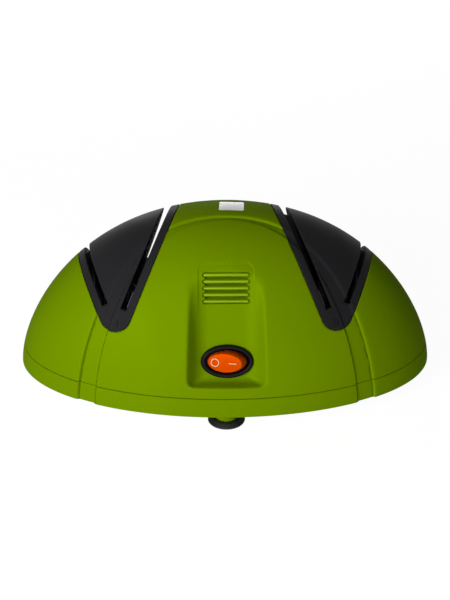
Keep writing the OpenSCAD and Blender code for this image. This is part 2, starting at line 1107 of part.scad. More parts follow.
module cord_clamp() {
    color("#303035")
        difference() {
            translate([-clamp_half - clamp_bar_w / 2, clamp_y - clamp_bar_w / 2, clamp_z])
                cube([2 * clamp_half + clamp_bar_w, clamp_bar_w, clamp_bar_t]);
            at_clamp_posts()
                cylinder(d = clamp_screw_d + 0.2, h = body_h, $fn = 24);
        }
}

module clamp_screws() {
    color(steel)
        at_clamp_posts() {
            translate([0, 0, clamp_z + clamp_bar_t - clamp_screw_l])
                cylinder(d = clamp_screw_d, h = clamp_screw_l, $fn = 24);
            translate([0, 0, clamp_z + clamp_bar_t])
                cylinder(d = 5.6, h = 2, $fn = 32);
        }
}

module terminal_block() {
    block_x = 18;
    block_w = 11;
    block_in = 16;
    block_y = body_d / 2 - block_in - block_w / 2;
    wire_z = 3.4;
    wire_d = 3.2;
    ways = 3;
    way = 8;
    color("whitesmoke")
        difference() {
            translate([block_x, block_y - block_w / 2, floor_z])
                cube([ways * way, block_w, block_w]);
            for (i = [0:ways - 1])
                translate([block_x + way * (i + 0.5), block_y, floor_z]) {
                    translate([0, 0, wire_z + wire_d / 2])
                        cylinder(d = wire_d, h = block_w, $fn = 24);
                    translate([0, 0, wire_z])
                        rotate([90, 0, 0])
                            cylinder(d = wire_d, h = 2 * block_w, center = true, $fn = 24);
                }
        }
}

base_shell();
upper_shell();
knife_guide_1();
knife_guide_2();
blade_springs_1();
blade_springs_2();
name_plate();
switch_housing();
switch_rocker();
switch_terminals();
suction_foot_front();
suction_foot_rear();
suction_foot_left();
suction_foot_right();
stator_stack();
coil_bobbin();
motor_coil();
rotor();
drive_shaft();
bearing_bracket_left();
bearing_bracket_right();
bearing_bush_left();
bearing_bush_right();
motor_screws();
motor_mounts();
mount_screws();
cooling_fan();
water_slinger_1();
water_slinger_2();
wheel_hub_1();
wheel_hub_2();
grinding_wheel_coarse();
grinding_wheel_fine();
wheel_washer_1();
wheel_washer_2();
shaft_nut_1();
shaft_nut_2();
water_tray_1();
water_tray_2();
housing_screws();
cord_gland();
cord_clamp();
clamp_screws();
terminal_block();
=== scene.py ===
# %% [markdown]
# # A wet grinding sharpener, dressed for the studio
# The machine is a low green dome on rubber feet. Two black V-shaped guides lie flush in
# its roof, each over a water-cooled stone, and a rocker switch sits in a recess in front.
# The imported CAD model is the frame: it gives every size, and each piece made here sits
# where the CAD piece is. Lengths in this lesson are millimetres until a piece is finished.

# %% Load the frame
import json
from math import asin, atan, atan2, cos, hypot, pi, radians, sin, sqrt, tan

import bmesh
import bpy
import numpy as np
from mathutils import Matrix, Vector


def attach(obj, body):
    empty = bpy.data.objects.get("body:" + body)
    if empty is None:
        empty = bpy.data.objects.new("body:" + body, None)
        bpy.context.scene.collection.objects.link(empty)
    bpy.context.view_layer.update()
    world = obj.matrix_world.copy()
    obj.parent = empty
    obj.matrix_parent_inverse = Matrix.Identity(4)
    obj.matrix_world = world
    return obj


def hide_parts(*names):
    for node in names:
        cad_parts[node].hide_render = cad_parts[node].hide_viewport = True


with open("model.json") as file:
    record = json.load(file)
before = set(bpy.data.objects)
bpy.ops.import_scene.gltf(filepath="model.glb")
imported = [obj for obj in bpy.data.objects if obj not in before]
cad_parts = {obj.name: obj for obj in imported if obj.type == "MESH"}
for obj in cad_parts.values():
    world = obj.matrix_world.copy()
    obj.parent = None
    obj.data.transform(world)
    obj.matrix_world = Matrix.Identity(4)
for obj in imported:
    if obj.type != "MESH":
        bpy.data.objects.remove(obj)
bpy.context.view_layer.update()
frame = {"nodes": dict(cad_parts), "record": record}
slots = {part["node"]: part["material_slot"] for part in frame["record"]["subparts"]}


# %% Making objects
def linked(name, data):
    """Puts data into the scene as an object."""
    thing = bpy.data.objects.new(name, data)
    bpy.context.collection.objects.link(thing)
    return thing


def as_object(bm, name):
    """Turns a bmesh, which is then gone, into an object."""
    mesh = bpy.data.meshes.new(name)
    bm.to_mesh(mesh)
    bm.free()
    return linked(name, mesh)


# %% [markdown]
# ## Camera, light and floor
# The camera comes first, because every comparison needs it. It stands in front, 32 degrees
# above the table, with a long lens that keeps the dome's outline calm. Its focal length and
# its shift are given in rows of a picture that is 600 rows high.

# %% Camera
EYE_LEFT, EYE_UP, EYE_AWAY = radians(0.69), radians(32), 0.8
AIM = Vector((0, 0, 0.012))
FILM_H, PICTURE_ROWS, FOCAL_ROWS = 36, 600, 1193.46
SHIFT_ROWS = (-0.3, 53.68)
back = Vector((-sin(EYE_LEFT) * cos(EYE_UP), -cos(EYE_LEFT) * cos(EYE_UP), sin(EYE_UP)))
lens = bpy.data.cameras.new("studio_camera")
camera = linked("studio_camera", lens)
camera.location = AIM + back * EYE_AWAY
camera.rotation_euler = back.to_track_quat("Z", "Y").to_euler()
lens.sensor_fit = "VERTICAL"
lens.sensor_height = FILM_H
lens.lens = FILM_H * FOCAL_ROWS / PICTURE_ROWS
lens.shift_x, lens.shift_y = (rows / PICTURE_ROWS for rows in SHIFT_ROWS)
bpy.context.scene.camera = camera
print("camera at", [round(v, 3) for v in camera.location], "lens", round(lens.lens, 1))


# %% [markdown]
# Materials are small node trees. Short helpers make what repeats: the tree itself, a noise
# in object coordinates, a colour ramp and a bump. The numbers that are the same everywhere
# go straight onto the shader's own inputs.

# %% Material helpers
UNEVEN_GLOSS = 0.06


def srgb(red, green, blue):
    """A screen colour of 0 to 255 as the linear colour that a shader wants."""
    shares = [value / 255 for value in (red, green, blue)]
    return (*(share / 12.92 if share <= 0.04045 else ((share + 0.055) / 1.055) ** 2.4
              for share in shares), 1)


def tint(colour, factor):
    return tuple(min(1, channel * factor) for channel in colour[:3]) + (1,)


def grey(level):
    return (level, level, level, 1)


def set_inputs(node, **values):
    """Sets a node's inputs, or links them if the value is another node's output. Their names
    have an underscore for each space."""
    for name, value in values.items():
        into = node.inputs[name.replace("_", " ")]
        if isinstance(value, bpy.types.NodeSocket):
            node.id_data.links.new(value, into)
        else:
            into.default_value = value
    return node


def new_material(name, **values):
    """A material, its node tree and its shader with the values set."""
    material = bpy.data.materials.new(name)
    material.use_nodes = True
    tree = material.node_tree
    return material, tree, set_inputs(tree.nodes["Principled BSDF"], **values)


def add(tree, kind, **values):
    return set_inputs(tree.nodes.new("ShaderNode" + kind), **values)


def object_noise(tree, scale, detail, rough, stretch):
    """A noise that stays put on the piece. Scale is in waves per metre."""
    turn = add(tree, "Mapping", Scale=stretch, Vector=add(tree, "TexCoord").outputs["Object"])
    return add(tree, "TexNoise", Scale=scale, Detail=detail, Roughness=rough,
               Vector=turn.outputs["Vector"]).outputs["Fac"]


def ramp(tree, value, stops):
    """Turns a value into a colour through the stops given."""
    node = add(tree, "ValToRGB", Fac=value)
    elements = node.color_ramp.elements
    elements[0].position, elements[0].color = stops[0]
    elements[1].position, elements[1].color = stops[-1]
    for place, colour in stops[1:-1]:
        elements.new(place).color = colour
    return node.outputs["Color"]


def relief(tree, height, distance, strength=1.0):
    """Lets a value stand out from the surface, by at most a distance in metres."""
    return add(tree, "Bump", Strength=strength, Distance=distance,
               Height=height).outputs["Normal"]


def larger(tree, one, other):
    node = add(tree, "Math")
    node.operation = "MAXIMUM"
    tree.links.new(one, node.inputs[0])
    tree.links.new(other, node.inputs[1])
    return node.outputs[0]


def finish(name, colour, rough, metal=0.0, patch=25, spread=0.06, grain=900, bump=0.05,
           specular=0.5, stretch=(1, 1, 1), **more):
    """A finish with a little colour drift, uneven gloss and a fine surface grain."""
    material, tree, shader = new_material(name, Metallic=metal, Specular_IOR_Level=specular,
                                          **more)
    drift = ramp(tree, object_noise(tree, patch, 4, 0.55, stretch),
                 [(0.3, tint(colour, 1 - spread)), (0.7, tint(colour, 1 + spread))])
    gloss = ramp(tree, object_noise(tree, patch * 3, 5, 0.6, stretch),
                 [(0.25, grey(rough - UNEVEN_GLOSS)), (0.75, grey(rough + UNEVEN_GLOSS))])
    fine = relief(tree, object_noise(tree, grain, 2, 0.5, stretch), 0.0002, bump)
    set_inputs(shader, Base_Color=drift, Roughness=gloss, Normal=fine)
    return material


# %% [markdown]
# The floor is pale and matt, and the backdrop is white. Both look white to the camera and to
# mirrors because of Light Path, not because of strong lamps. A part of what the camera sees
# there is ordinary lit floor, so the object's shadow stays. The rest is white of the floor's
# own, with just enough added that both together come to 1, which is white.

# %% Floor and white background
def sees_background(tree):
    """1 for camera, glossy and transmission rays, 0 for rays that light the object."""
    ray = add(tree, "LightPath").outputs
    return larger(tree, larger(tree, ray["Is Camera Ray"], ray["Is Glossy Ray"]),
                  ray["Is Transmission Ray"])


WHITE_SHARE, LIT_FLOOR, FLOOR_GREY, FILL_LIGHT = 0.75, 0.2, 0.6, 0.035
floor_paint, tree, matt = new_material("studio_floor", Base_Color=grey(FLOOR_GREY),
                                       Roughness=0.9)
white = add(tree, "Emission", Strength=(1 - (1 - WHITE_SHARE) * LIT_FLOOR) / WHITE_SHARE)
share = add(tree, "MapRange", Value=sees_background(tree), To_Max=WHITE_SHARE)
both = add(tree, "MixShader", Fac=share.outputs["Result"])
tree.links.new(matt.outputs[0], both.inputs[1])
tree.links.new(white.outputs[0], both.inputs[2])
set_inputs(tree.nodes["Material Output"], Surface=both.outputs[0])

bm = bmesh.new()
bmesh.ops.create_grid(bm, x_segments=1, y_segments=1, size=3)
floor = as_object(bm, "studio_floor")
floor.data.materials.append(floor_paint)

world = bpy.data.worlds.new("studio_world")
bpy.context.scene.world = world
world.use_nodes = True
tree = world.node_tree
strength = add(tree, "MapRange", Value=sees_background(tree), To_Min=FILL_LIGHT, To_Max=1)
set_inputs(tree.nodes["Background"], Color=grey(1), Strength=strength.outputs["Result"])
bpy.context.scene.view_settings.view_transform = "Standard"


# %% Lamps
def lamp(name, place, size, watts):
    """A soft square lamp that looks at the machine's middle."""
    light = bpy.data.lights.new(name, "AREA")
    light.size = size
    light.energy = watts
    thing = linked(name, light)
    thing.location = place
    aim = Vector((0, 0, 0.05)) - thing.location
    thing.rotation_euler = aim.to_track_quat("-Z", "Y").to_euler()


lamp("key_lamp", (-0.5, -0.7, 0.38), 0.4, 4.7)
lamp("front_lamp", (0.0, -1.2, 0.2), 0.6, 2.7)
lamp("rear_lamp", (-0.1, 1.35, 0.12), 0.8, 6.0)

# %% [markdown]
# ## The shape of the housing
# The dome is a superellipse turned round the upright axis and then narrowed from front to
# back. A formula like this has one value for each point of space: below nought inside,
# nought on the skin, above nought outside. With its slope it tells how far any point is from
# the skin, so edges and grooves can be rolled, sunk and faded to a tenth of a millimetre.

# %% Sizes of the housing
BODY_W, BODY_D, BODY_H = 270.0, 150.0, 119.0
FOOT_H, PART_Z, PART_GAP = 12.0, 25.0, 0.4
WALL, FLOOR_Z, PARTING_ROLL = 2.8, 14.5, 0.4
RISE, ROUND = 1.57, 2.22


def dome_value(p, off=0.0):
    """The formula's value and slope at the points p, for a dome that is off smaller."""
    a, b, h = BODY_W / 2 - off, BODY_D / 2 - off, BODY_H - off - FOOT_H
    kx, ky = p[:, 0] / a, p[:, 1] / b
    zr = np.clip((p[:, 2] - FOOT_H) / h, 1e-9, None)
    k2 = kx * kx + ky * ky + 1e-12
    pull = ROUND * k2 ** (ROUND / 2 - 1)
    slope = np.stack([pull * kx / a, pull * ky / b, RISE * zr ** (RISE - 1) / h], 1)
    return k2 ** (ROUND / 2) + zr ** RISE - 1, slope


def onto_dome(p, off=0.0):
    """Moves points that are near the skin onto it."""
    p = p.copy()
    for _ in range(6):
        value, slope = dome_value(p, off)
        p -= (value / (slope ** 2).sum(1))[:, None] * slope
    return p


def skin_normal(p, off=0.0):
    slope = dome_value(p, off)[1]
    return slope / np.linalg.norm(slope, axis=1)[:, None]


def dome_radius(z, off=0.0):
    """How wide the dome is at height z, as a share of its full width."""
    zr = max(0.0, (z - FOOT_H) / (BODY_H - off - FOOT_H))
    return max(0.0, 1 - zr ** RISE) ** (1 / ROUND)


print("front of the dome at the parting line:", round(BODY_D / 2 * dome_radius(PART_Z), 2))

# %% [markdown]
# Features are drawn on the skin by their distance to it. Each helper below gives a value and
# a slope, and `along_skin` turns them into a distance measured along the surface.

# %% Distances along the skin
ARCH_OUT, ARCH_IN = (94.0, BODY_H - 0.7), (82.5, BODY_H - 1.5)
ARCH_CREST = 0.4
GUIDE_X, GUIDE_Z, GUIDE_FIT, GUIDE_T = 68.0, 47.0, 0.4, 2.5
LEAN, TOE = radians(20.5), radians(10)
SLOT_W, SLOT_SPREAD, BLADE_Z, RIM_W, TIP_R = 3.8, 26.0, 72.0, 6.5, 10.0
SLOT_FRONT, SLOT_Z, SLOT_SLOPE = 47.0, 68.0, radians(7.5)
SLOT_END_IN, SLOT_END_OUT = 13.4, 16.4
SLOPE_Y, SLOPE_Z = tan(TOE), tan(LEAN) / cos(TOE)
SPREAD = hypot(SLOPE_Y, SLOPE_Z)
TILT = atan2(SLOPE_Z, SLOPE_Y)
OPEN = atan(SPREAD)
SIN_OPEN, COS_OPEN = sin(OPEN), cos(OPEN)
SLOTS_MEET = (SLOPE_Z * BLADE_Z - SLOT_SPREAD / 2) / SPREAD
TIP_W = SLOTS_MEET - RIM_W / SIN_OPEN + TIP_R / SIN_OPEN
OPENING_ROLL, GUIDE_ROLL, FAR_OFF = 0.5, 0.6, 99.0


def along_skin(value, slope, normal):
    flat = slope - (slope * normal).sum(1)[:, None] * normal
    return value / np.maximum(np.linalg.norm(flat, axis=1), 1e-4)


def arch_distance(p, normal, arch):
    """Distance outwards from an arch on the front, given as (half width, height of its top)."""
    half, top = arch
    xr = np.abs(p[:, 0]) / half
    zr = np.clip((p[:, 2] - FOOT_H) / (top - FOOT_H), 1e-9, None)
    side = np.clip(1 - xr, 0, 1)
    crest = ARCH_CREST * xr ** 2 * side ** 2
    crest_slope = 2 * ARCH_CREST * xr * side * (side - xr)
    slope = np.stack([(3 * xr ** 2 + crest_slope) * np.sign(p[:, 0]) / half, 0 * xr,
                      1.5 * zr ** 0.5 / (top - FOOT_H)], 1)
    return along_skin(xr ** 3 + crest + zr ** 1.5 - 1, slope, normal)


def arches(p, normal):
    """The distances from the arched band's outer and inner edge."""
    return arch_distance(p, normal, ARCH_OUT), arch_distance(p, normal, ARCH_IN)


def wedge_axes(p):
    """The side of the machine that a point is on, its sideways distance from the middle of
    that side's guide, and its height over the centre of the guide's tip."""
    side = np.where(p[:, 0] < 0, -1, 1)
    return (side, p[:, 0] - side * GUIDE_X,
            p[:, 1] * cos(TILT) + p[:, 2] * sin(TILT) - TIP_W)


def wedge_slope(across, up):
    """A slope in space from its parts along those two axes."""
    return np.stack([across, up * cos(TILT), up * sin(TILT)], 1)


def guide_distance(p, normal):
    """Distance outwards from the guide's outline."""
    _, x, w = wedge_axes(p)
    r = np.hypot(x, w) + 1e-9
    cap = np.abs(x) * SIN_OPEN + w * COS_OPEN < 0
    value = np.where(cap, r - TIP_R, np.abs(x) * COS_OPEN - w * SIN_OPEN - TIP_R)
    slope = wedge_slope(np.where(cap, x / r, np.sign(x) * COS_OPEN),
                        np.where(cap, w / r, -SIN_OPEN))
    low = along_skin(GUIDE_Z - p[:, 2], np.tile([0.0, 0, -1], (len(p), 1)), normal)
    return np.maximum(along_skin(value, slope, normal), low)


def slot_distance(p, normal):
    """Distance outwards from the sides and front end of the guide's two slots."""
    side, x, w = wedge_axes(p)
    from_meet, left_right = w + TIP_W - SLOTS_MEET, np.sign(x)
    off_plane = np.abs(x) * COS_OPEN - from_meet * SIN_OPEN
    slope = wedge_slope(left_right * COS_OPEN, np.full(len(p), -SIN_OPEN))
    slope *= np.sign(off_plane)[:, None]
    sides = along_skin(np.abs(off_plane) - SLOT_W / 2, slope, normal)
    along = np.abs(x) * SIN_OPEN + from_meet * COS_OPEN
    slope = wedge_slope(-left_right * SIN_OPEN, np.full(len(p), -COS_OPEN))
    end = along_skin(np.where(x * side > 0, SLOT_END_OUT, SLOT_END_IN) - along, slope, normal)
    return np.maximum(sides, end)


def fade(value):
    """A smooth step from 0 to 1."""
    value = np.clip(value, 0, 1)
    return value * value * (3 - 2 * value)


def rolled(distance, radius):
    """How far a rolled edge of that radius falls, at a distance in from the edge."""
    t = np.clip(1 - distance / radius, 0, 1)
    return radius * (1 - np.sqrt(1 - t * t))


# %% [markdown]
# The arched band is a shallow step in the skin with a thin line at each edge. Its outer edge
# is crisper on the housing than on the guides. The numbers are its depth, the soft shoulder
# outside it, how wide its outer and inner steps are, and how deep its two lines are.

# %% The arched band
HOUSING_BAND = dict(depth=1.2, ease=0.45, crisp_out=0.4, crisp_in=0.5, groove=1.2, foot=0.8)
GUIDE_BAND = dict(depth=1.0, ease=0, crisp_out=3.0, crisp_in=0.35, groove=0.6, foot=0)
BAND_FADE, SHOULDER_W = 14, 1.4
LINE_AT, LINE_HALF, FOOT_AT, FOOT_HALF = 0.2, 0.45, -0.6, 0.4


def band_drop(p, normal, depth, ease, crisp_out, crisp_in, groove, foot):
    """How deep the skin is sunk in the arched band, which dies away over the crest."""
    outer, inner = arches(p, normal)
    line = groove * np.clip(1 - np.abs(inner - LINE_AT) / LINE_HALF, 0, 1)
    line += foot * np.clip(1 - np.abs(outer - FOOT_AT) / FOOT_HALF, 0, 1)
    step = (ease * np.clip(1 - outer / SHOULDER_W, 0, 1) ** 2
            + (depth - ease) * fade(-outer / crisp_out))
    return fade(-p[:, 1] / BAND_FADE) * (step * fade(inner / crisp_in) + line)


# %% [markdown]
# The recess is a flat floor that leans back, between two slanted sides and inside a rounded
# outline. Its formula is the largest of those planes' distances, and a smooth maximum gives
# the moulding its fillets. Each point of the dome over it is pushed in along the floor's
# normal until it meets the recess, so skin, rim, walls and floor are one sheet.

# %% The recess
PANEL_Y, RECESS_Z, PANEL_LEAN = 62.0, 32.0, radians(16.3)
PANEL_HALF, RECESS_HALF, RIM_TOP_HALF, RECESS_R = 16.5, 25.2, 22.0, 6.0
SIDE_FILLET, FLOOR_FILLET, RIM_FILLET = 2.0, 4.5, 1.1
PANEL_AT = np.array([0, -PANEL_Y, RECESS_Z])
PANEL_UP = np.array([0, sin(PANEL_LEAN), cos(PANEL_LEAN)])
PANEL_OUT = np.array([0, -cos(PANEL_LEAN), sin(PANEL_LEAN)])
PANEL = Matrix(((1, 0, 0, 0), (0, PANEL_UP[1], PANEL_OUT[1], -PANEL_Y),
                (0, PANEL_UP[2], PANEL_OUT[2], RECESS_Z), (0, 0, 0, 1)))
RIB_TOP, RIB_PITCH, RIB_W, RIB_T, RIBS = 65.8, 4.1, 27.4, 1.8, 5
RIB_SPAN = (RIBS - 1) * RIB_PITCH
RIB_V_DEPTH, RIB_LINE_DEPTH, RIB_LINE_W = 3.4, 1.6, 0.45
POCKET_TOP, POCKET_HALF, POCKET_R, POCKET_D = 72.6, 17.2, 4.5, 0.4
SWITCH = PANEL @ Matrix.Translation((0.4, 11.9, 0))
BEZEL_W, BEZEL_H, ROCKER_W, ROCKER_H, ROCKER_TOP = 32.5, 21.1, 24.2, 13.2, 5.6
ROCKER_TILT = radians(16)
SWITCH_W, SWITCH_H = ROCKER_W + 2.8, ROCKER_H + 2.8


def smooth_max(a, b, blend):
    overlap = np.clip(blend - np.abs(a - b), 0, None) / blend
    return np.maximum(a, b) + overlap * overlap * blend / 4


def rounded_box(x, y, half_x, half_y, radius):
    """Distance outwards from a rectangle with rounded corners."""
    qx, qy = np.abs(x) - half_x + radius, np.abs(y) - half_y + radius
    return (np.hypot(np.maximum(qx, 0), np.maximum(qy, 0))
            + np.minimum(np.maximum(qx, qy), 0) - radius)


def depth_over(up, x=20.0):
    """How far the dome stands out over the recess's floor, at a height up along the floor."""
    out = np.linspace(0, 25, 251)
    p = PANEL_AT + up * PANEL_UP + out[:, None] * PANEL_OUT + np.array([x, 0, 0])
    return max(0.8, out[np.argmax(dome_value(p)[0] > 0)])


WALL_UP = np.linspace(0, 74, 38)
WALL_DEPTH = np.array([depth_over(up) for up in WALL_UP])
print("recess depth from bottom to top:", WALL_DEPTH[::9].round(1))


def recess_value(p, off=0.0):
    """Below nought in the recess's hollow, or in the hollow plus a wall of off."""
    q = p - PANEL_AT
    up, out = q @ PANEL_UP, q @ PANEL_OUT
    deep = np.interp(up, WALL_UP, WALL_DEPTH)
    reach = np.interp(up, (WALL_UP[0], WALL_UP[-1]), (RECESS_HALF, RIM_TOP_HALF))
    slant = (reach - PANEL_HALF) / deep
    side = (np.abs(p[:, 0]) - PANEL_HALF - slant * out) / np.hypot(1, slant)
    outline = rounded_box(p[:, 0], p[:, 2] - RECESS_Z - 100, RECESS_HALF, 100, RECESS_R)
    return smooth_max(smooth_max(side, outline, SIDE_FILLET), -out, FLOOR_FILLET) - off


def push_in(p, off=0.0, rim=RIM_FILLET):
    """How far each skin point over the recess moves in along the floor's normal."""
    low, high = np.zeros(len(p)), np.full(len(p), 22.0)
    for _ in range(26):
        middle = (low + high) / 2
        q = p - middle[:, None] * PANEL_OUT
        value, slope = dome_value(q, off)
        depth = value / np.linalg.norm(slope, axis=1)
        solid = smooth_max(depth, -recess_value(q, off), rim) < 0
        high, low = np.where(solid, middle, high), np.where(solid, low, middle)
    return high


def over_recess(p):
    return (np.abs(p[:, 0]) < RECESS_HALF + 5) & (p[:, 1] < 0) & (p[:, 2] > RECESS_Z - 5)


def rib_grooves(x, below):
    """Depth of the grooves round the ribs: a V between two ribs, a thin line at their ends."""
    nearest = np.clip(np.round(below / RIB_PITCH), 0, RIBS - 1) * RIB_PITCH
    rib = np.hypot(np.maximum(np.abs(x) - RIB_W / 2 + RIB_T / 2, 0), below - nearest) - RIB_T / 2
    between = (below > 0) & (below < RIB_SPAN) & (np.abs(x) < RIB_W / 2 - RIB_T / 2)
    width = np.where(between, (RIB_PITCH - RIB_T) / 2, RIB_LINE_W)
    depth = np.where(between, RIB_V_DEPTH, RIB_LINE_DEPTH)
    return depth * np.clip(np.where(between, rib / width, 1 - np.abs(rib - 0.4) / width), 0, 1)


def shape_housing(p):
    """Final places of points that lie on the plain dome: band, rolled edges, recess."""
    normal = skin_normal(p)
    drop = np.maximum(band_drop(p, normal, **HOUSING_BAND),
                      rolled(guide_distance(p, normal) - GUIDE_FIT, OPENING_ROLL))
    drop += rolled(p[:, 2] - PART_Z, PARTING_ROLL)
    shaped = p - drop[:, None] * normal
    over = over_recess(p)
    q = shaped[over]
    q = q - push_in(q)[:, None] * PANEL_OUT
    up, x = (q - PANEL_AT) @ PANEL_UP, q[:, 0]
    pocket = rounded_box(x, up - POCKET_TOP / 2, POCKET_HALF, POCKET_TOP / 2, POCKET_R)
    sunk = POCKET_D * fade(-pocket / 0.7) * fade((up - 40) / 15)
    sunk = np.maximum(sunk, rib_grooves(x, RIB_TOP - up))
    shaped[over] = q - sunk[:, None] * PANEL_OUT
    return shaped


# %% [markdown]
# ## Modelling helpers
# Each piece starts as a bmesh. A round one is a profile that is spun a full turn, and a skin
# is then cut finer where a feature needs it, by splitting the edges of the faces nearby.

# %% Points, moves and closing
def get_points(bm):
    return np.array([vert.co for vert in bm.verts], float).reshape(-1, 3)


def set_points(bm, points, chosen=None):
    for i, vert in enumerate(bm.verts):
        if chosen is None or chosen[i]:
            vert.co = points[i]


def move(bm, matrix):
    bmesh.ops.transform(bm, matrix=matrix, verts=bm.verts[:])


def scale(bm, *factors):
    bmesh.ops.scale(bm, vec=factors, verts=bm.verts[:])


def face_out(bm):
    """Turns every face of a closed shape outwards."""
    bmesh.ops.recalc_face_normals(bm, faces=bm.faces[:])
    return bm


def mirror(bm):
    """Turns a right-hand piece into the left-hand one."""
    scale(bm, -1, 1, 1)
    bmesh.ops.reverse_faces(bm, faces=bm.faces[:])
    return bm


def slice_off(bm, at, keep):
    """Cuts a closed shape by a plane, keeps the side that keep points to, and closes it."""
    made = bmesh.ops.bisect_plane(bm, geom=bm.verts[:] + bm.edges[:] + bm.faces[:],
                                  plane_co=at, plane_no=keep, clear_inner=True)["geom_cut"]
    rim = [e for e in made if isinstance(e, bmesh.types.BMEdge)]
    bmesh.ops.edgeloop_fill(bm, edges=rim)


def rim_edges(bm):
    return [edge for edge in bm.edges if edge.is_boundary]


def join(bm, other):
    """Adds the faces of another bmesh, which is then gone."""
    mesh = bpy.data.meshes.new("joined")
    other.to_mesh(mesh)
    other.free()
    bm.from_mesh(mesh)
    bpy.data.meshes.remove(mesh)
    return bm


# %% Basic shapes
def box(*size):
    bm = bmesh.new()
    bmesh.ops.create_cube(bm, size=1)
    scale(bm, *size)
    return bm


def spun(profile, steps=96, centre=(0, 0, 0), axis=(0, 0, 1)):
    """Turns a profile of (radius, height) points a full turn round an axis."""
    bm = bmesh.new()
    verts = [bm.verts.new((radius, 0, height)) for radius, height in profile]
    for a, b in zip(verts, verts[1:]):
        bm.edges.new((a, b))
    bmesh.ops.spin(bm, geom=bm.verts[:] + bm.edges[:], cent=(0, 0, 0), axis=(0, 0, 1),
                   angle=2 * pi, steps=steps, use_merge=True)
    bmesh.ops.remove_doubles(bm, verts=bm.verts[:], dist=1e-5)
    turn = Vector((0, 0, 1)).rotation_difference(Vector(axis)).to_matrix().to_4x4()
    move(bm, Matrix.Translation(centre) @ turn)
    return face_out(bm)


def cylinder(radius, low, high, steps, **place):
    return spun([(0, low), (radius, low), (radius, high), (0, high)], steps, **place)


def closed_ring(profile, steps, **place):
    """A spun profile that comes back to where it began."""
    return spun(profile + profile[:1], steps, **place)


def rounded_block(width, length, low, high, radius, centre=(0, 0)):
    """An upright block with rounded corners."""
    bm = box(width, length, high - low)
    upright = [e for e in bm.edges if abs(e.verts[0].co.z - e.verts[1].co.z) > 0.1]
    bmesh.ops.bevel(bm, geom=upright, offset=radius, segments=8, profile=0.5,
                    affect="EDGES", material=-1)
    bmesh.ops.translate(bm, vec=(*centre, (low + high) / 2), verts=bm.verts[:])
    return bm


def lofted(ovals, steps=96):
    """A closed loft through ovals given as (width, height, level)."""
    bm = bmesh.new()
    loops = []
    for wide, high, level in ovals:
        made = bmesh.ops.create_circle(bm, segments=steps, radius=0.5)["verts"]
        bmesh.ops.scale(bm, vec=(wide, high, 1), verts=made)
        bmesh.ops.translate(bm, vec=(0, 0, level), verts=made)
        loops.append({edge for vert in made for edge in vert.link_edges})
    for one, other in zip(loops, loops[1:]):
        bmesh.ops.bridge_loops(bm, edges=list(one | other))
    for end in (loops[0], loops[-1]):
        bmesh.ops.edgeloop_fill(bm, edges=list(end))
    return face_out(bm)


def rounded_outline(width, length, radius, level, turns=6):
    """The points of a rectangle with rounded corners, at one level."""
    x, y = width / 2 - radius, length / 2 - radius
    turned = [[radians(start + 90 * i / turns) for i in range(turns + 1)]
              for start in (0, 90, 180, 270)]
    return [(cx + radius * cos(a), cy + radius * sin(a), level)
            for (cx, cy), angles in zip([(x, y), (-x, y), (-x, -y), (x, -y)], turned)
            for a in angles]


def stacked(outlines):
    """A closed shape through outlines that have the same number of points."""
    bm = bmesh.new()
    loops = [[bm.verts.new(point) for point in outline] for outline in outlines]
    for low, high in zip(loops, loops[1:]):
        for i in range(len(low)):
            bm.faces.new((low[i - 1], low[i], high[i], high[i - 1]))
    bm.faces.new(reversed(loops[0]))
    bm.faces.new(loops[-1])
    return face_out(bm)


# %% Refining, cutting and placing
def finest(full):
    return full


def refine(bm, distance, steps):
    """Splits the skin's faces where |distance| is below each step's reach, to its size."""
    bmesh.ops.triangulate(bm, faces=bm.faces[:])
    for size, reach in steps:
        for _ in range(4):
            bm.faces.ensure_lookup_table()
            middle = np.array([face.calc_center_median() for face in bm.faces], float)
            on_skin = np.abs(dome_value(middle)[0]) < 0.004
            near = np.zeros(len(middle), bool)
            spots = middle[on_skin]
            near[on_skin] = np.abs(distance(spots, skin_normal(spots))) < reach
            edges = {edge for i in np.flatnonzero(near) for edge in bm.faces[i].edges
                     if edge.calc_length() > 1.45 * size}
            if not edges:
                break
            bmesh.ops.subdivide_edges(bm, edges=list(edges), cuts=1, use_grid_fill=True)
            wide = [face for face in bm.faces if len(face.verts) > 3]
            bmesh.ops.triangulate(bm, faces=wide)
            points = get_points(bm)
            value = dome_value(points)[0]
            moved = (np.abs(value) < 0.01) & (np.abs(value) > 1e-7)
            points[moved] = onto_dome(points[moved])
            set_points(bm, points, moved)


def evaluated(thing):
    """The shape of an object after its modifiers, as a bmesh with its points welded."""
    ready = thing.evaluated_get(bpy.context.evaluated_depsgraph_get())
    bm = bmesh.new()
    bm.from_mesh(ready.to_mesh())
    ready.to_mesh_clear()
    bmesh.ops.remove_doubles(bm, verts=bm.verts[:], dist=1e-4)
    return bm


def cut(bm, cutter, operation="DIFFERENCE"):
    """The exact boolean of two closed shapes. Both are used up, and a new bmesh comes back."""
    thing, tool = as_object(bm, "workpiece"), as_object(cutter, "cutter")
    boolean = thing.modifiers.new("cut", "BOOLEAN")
    boolean.operation = operation
    boolean.solver = "EXACT"
    boolean.object = tool
    result = evaluated(thing)
    for used in (thing, tool):
        mesh = used.data
        bpy.data.objects.remove(used)
        bpy.data.meshes.remove(mesh)
    return result


paints = {}


def place_piece(bm, name, slot, body, replaces=(), paint=None):
    """Finishes a piece: metres, smooth faces, its finish, its body and its CAD node."""
    scale(bm, 0.001, 0.001, 0.001)
    piece = as_object(bm, name)
    piece.data.polygons.foreach_set("use_smooth", [True] * len(piece.data.polygons))
    piece.data.set_sharp_from_angle(angle=radians(35))
    piece.data.materials.append(paints[paint or slot])
    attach(piece, body)
    if replaces:
        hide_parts(*replaces)
    print(f"{name}: {len(piece.data.polygons)} faces")


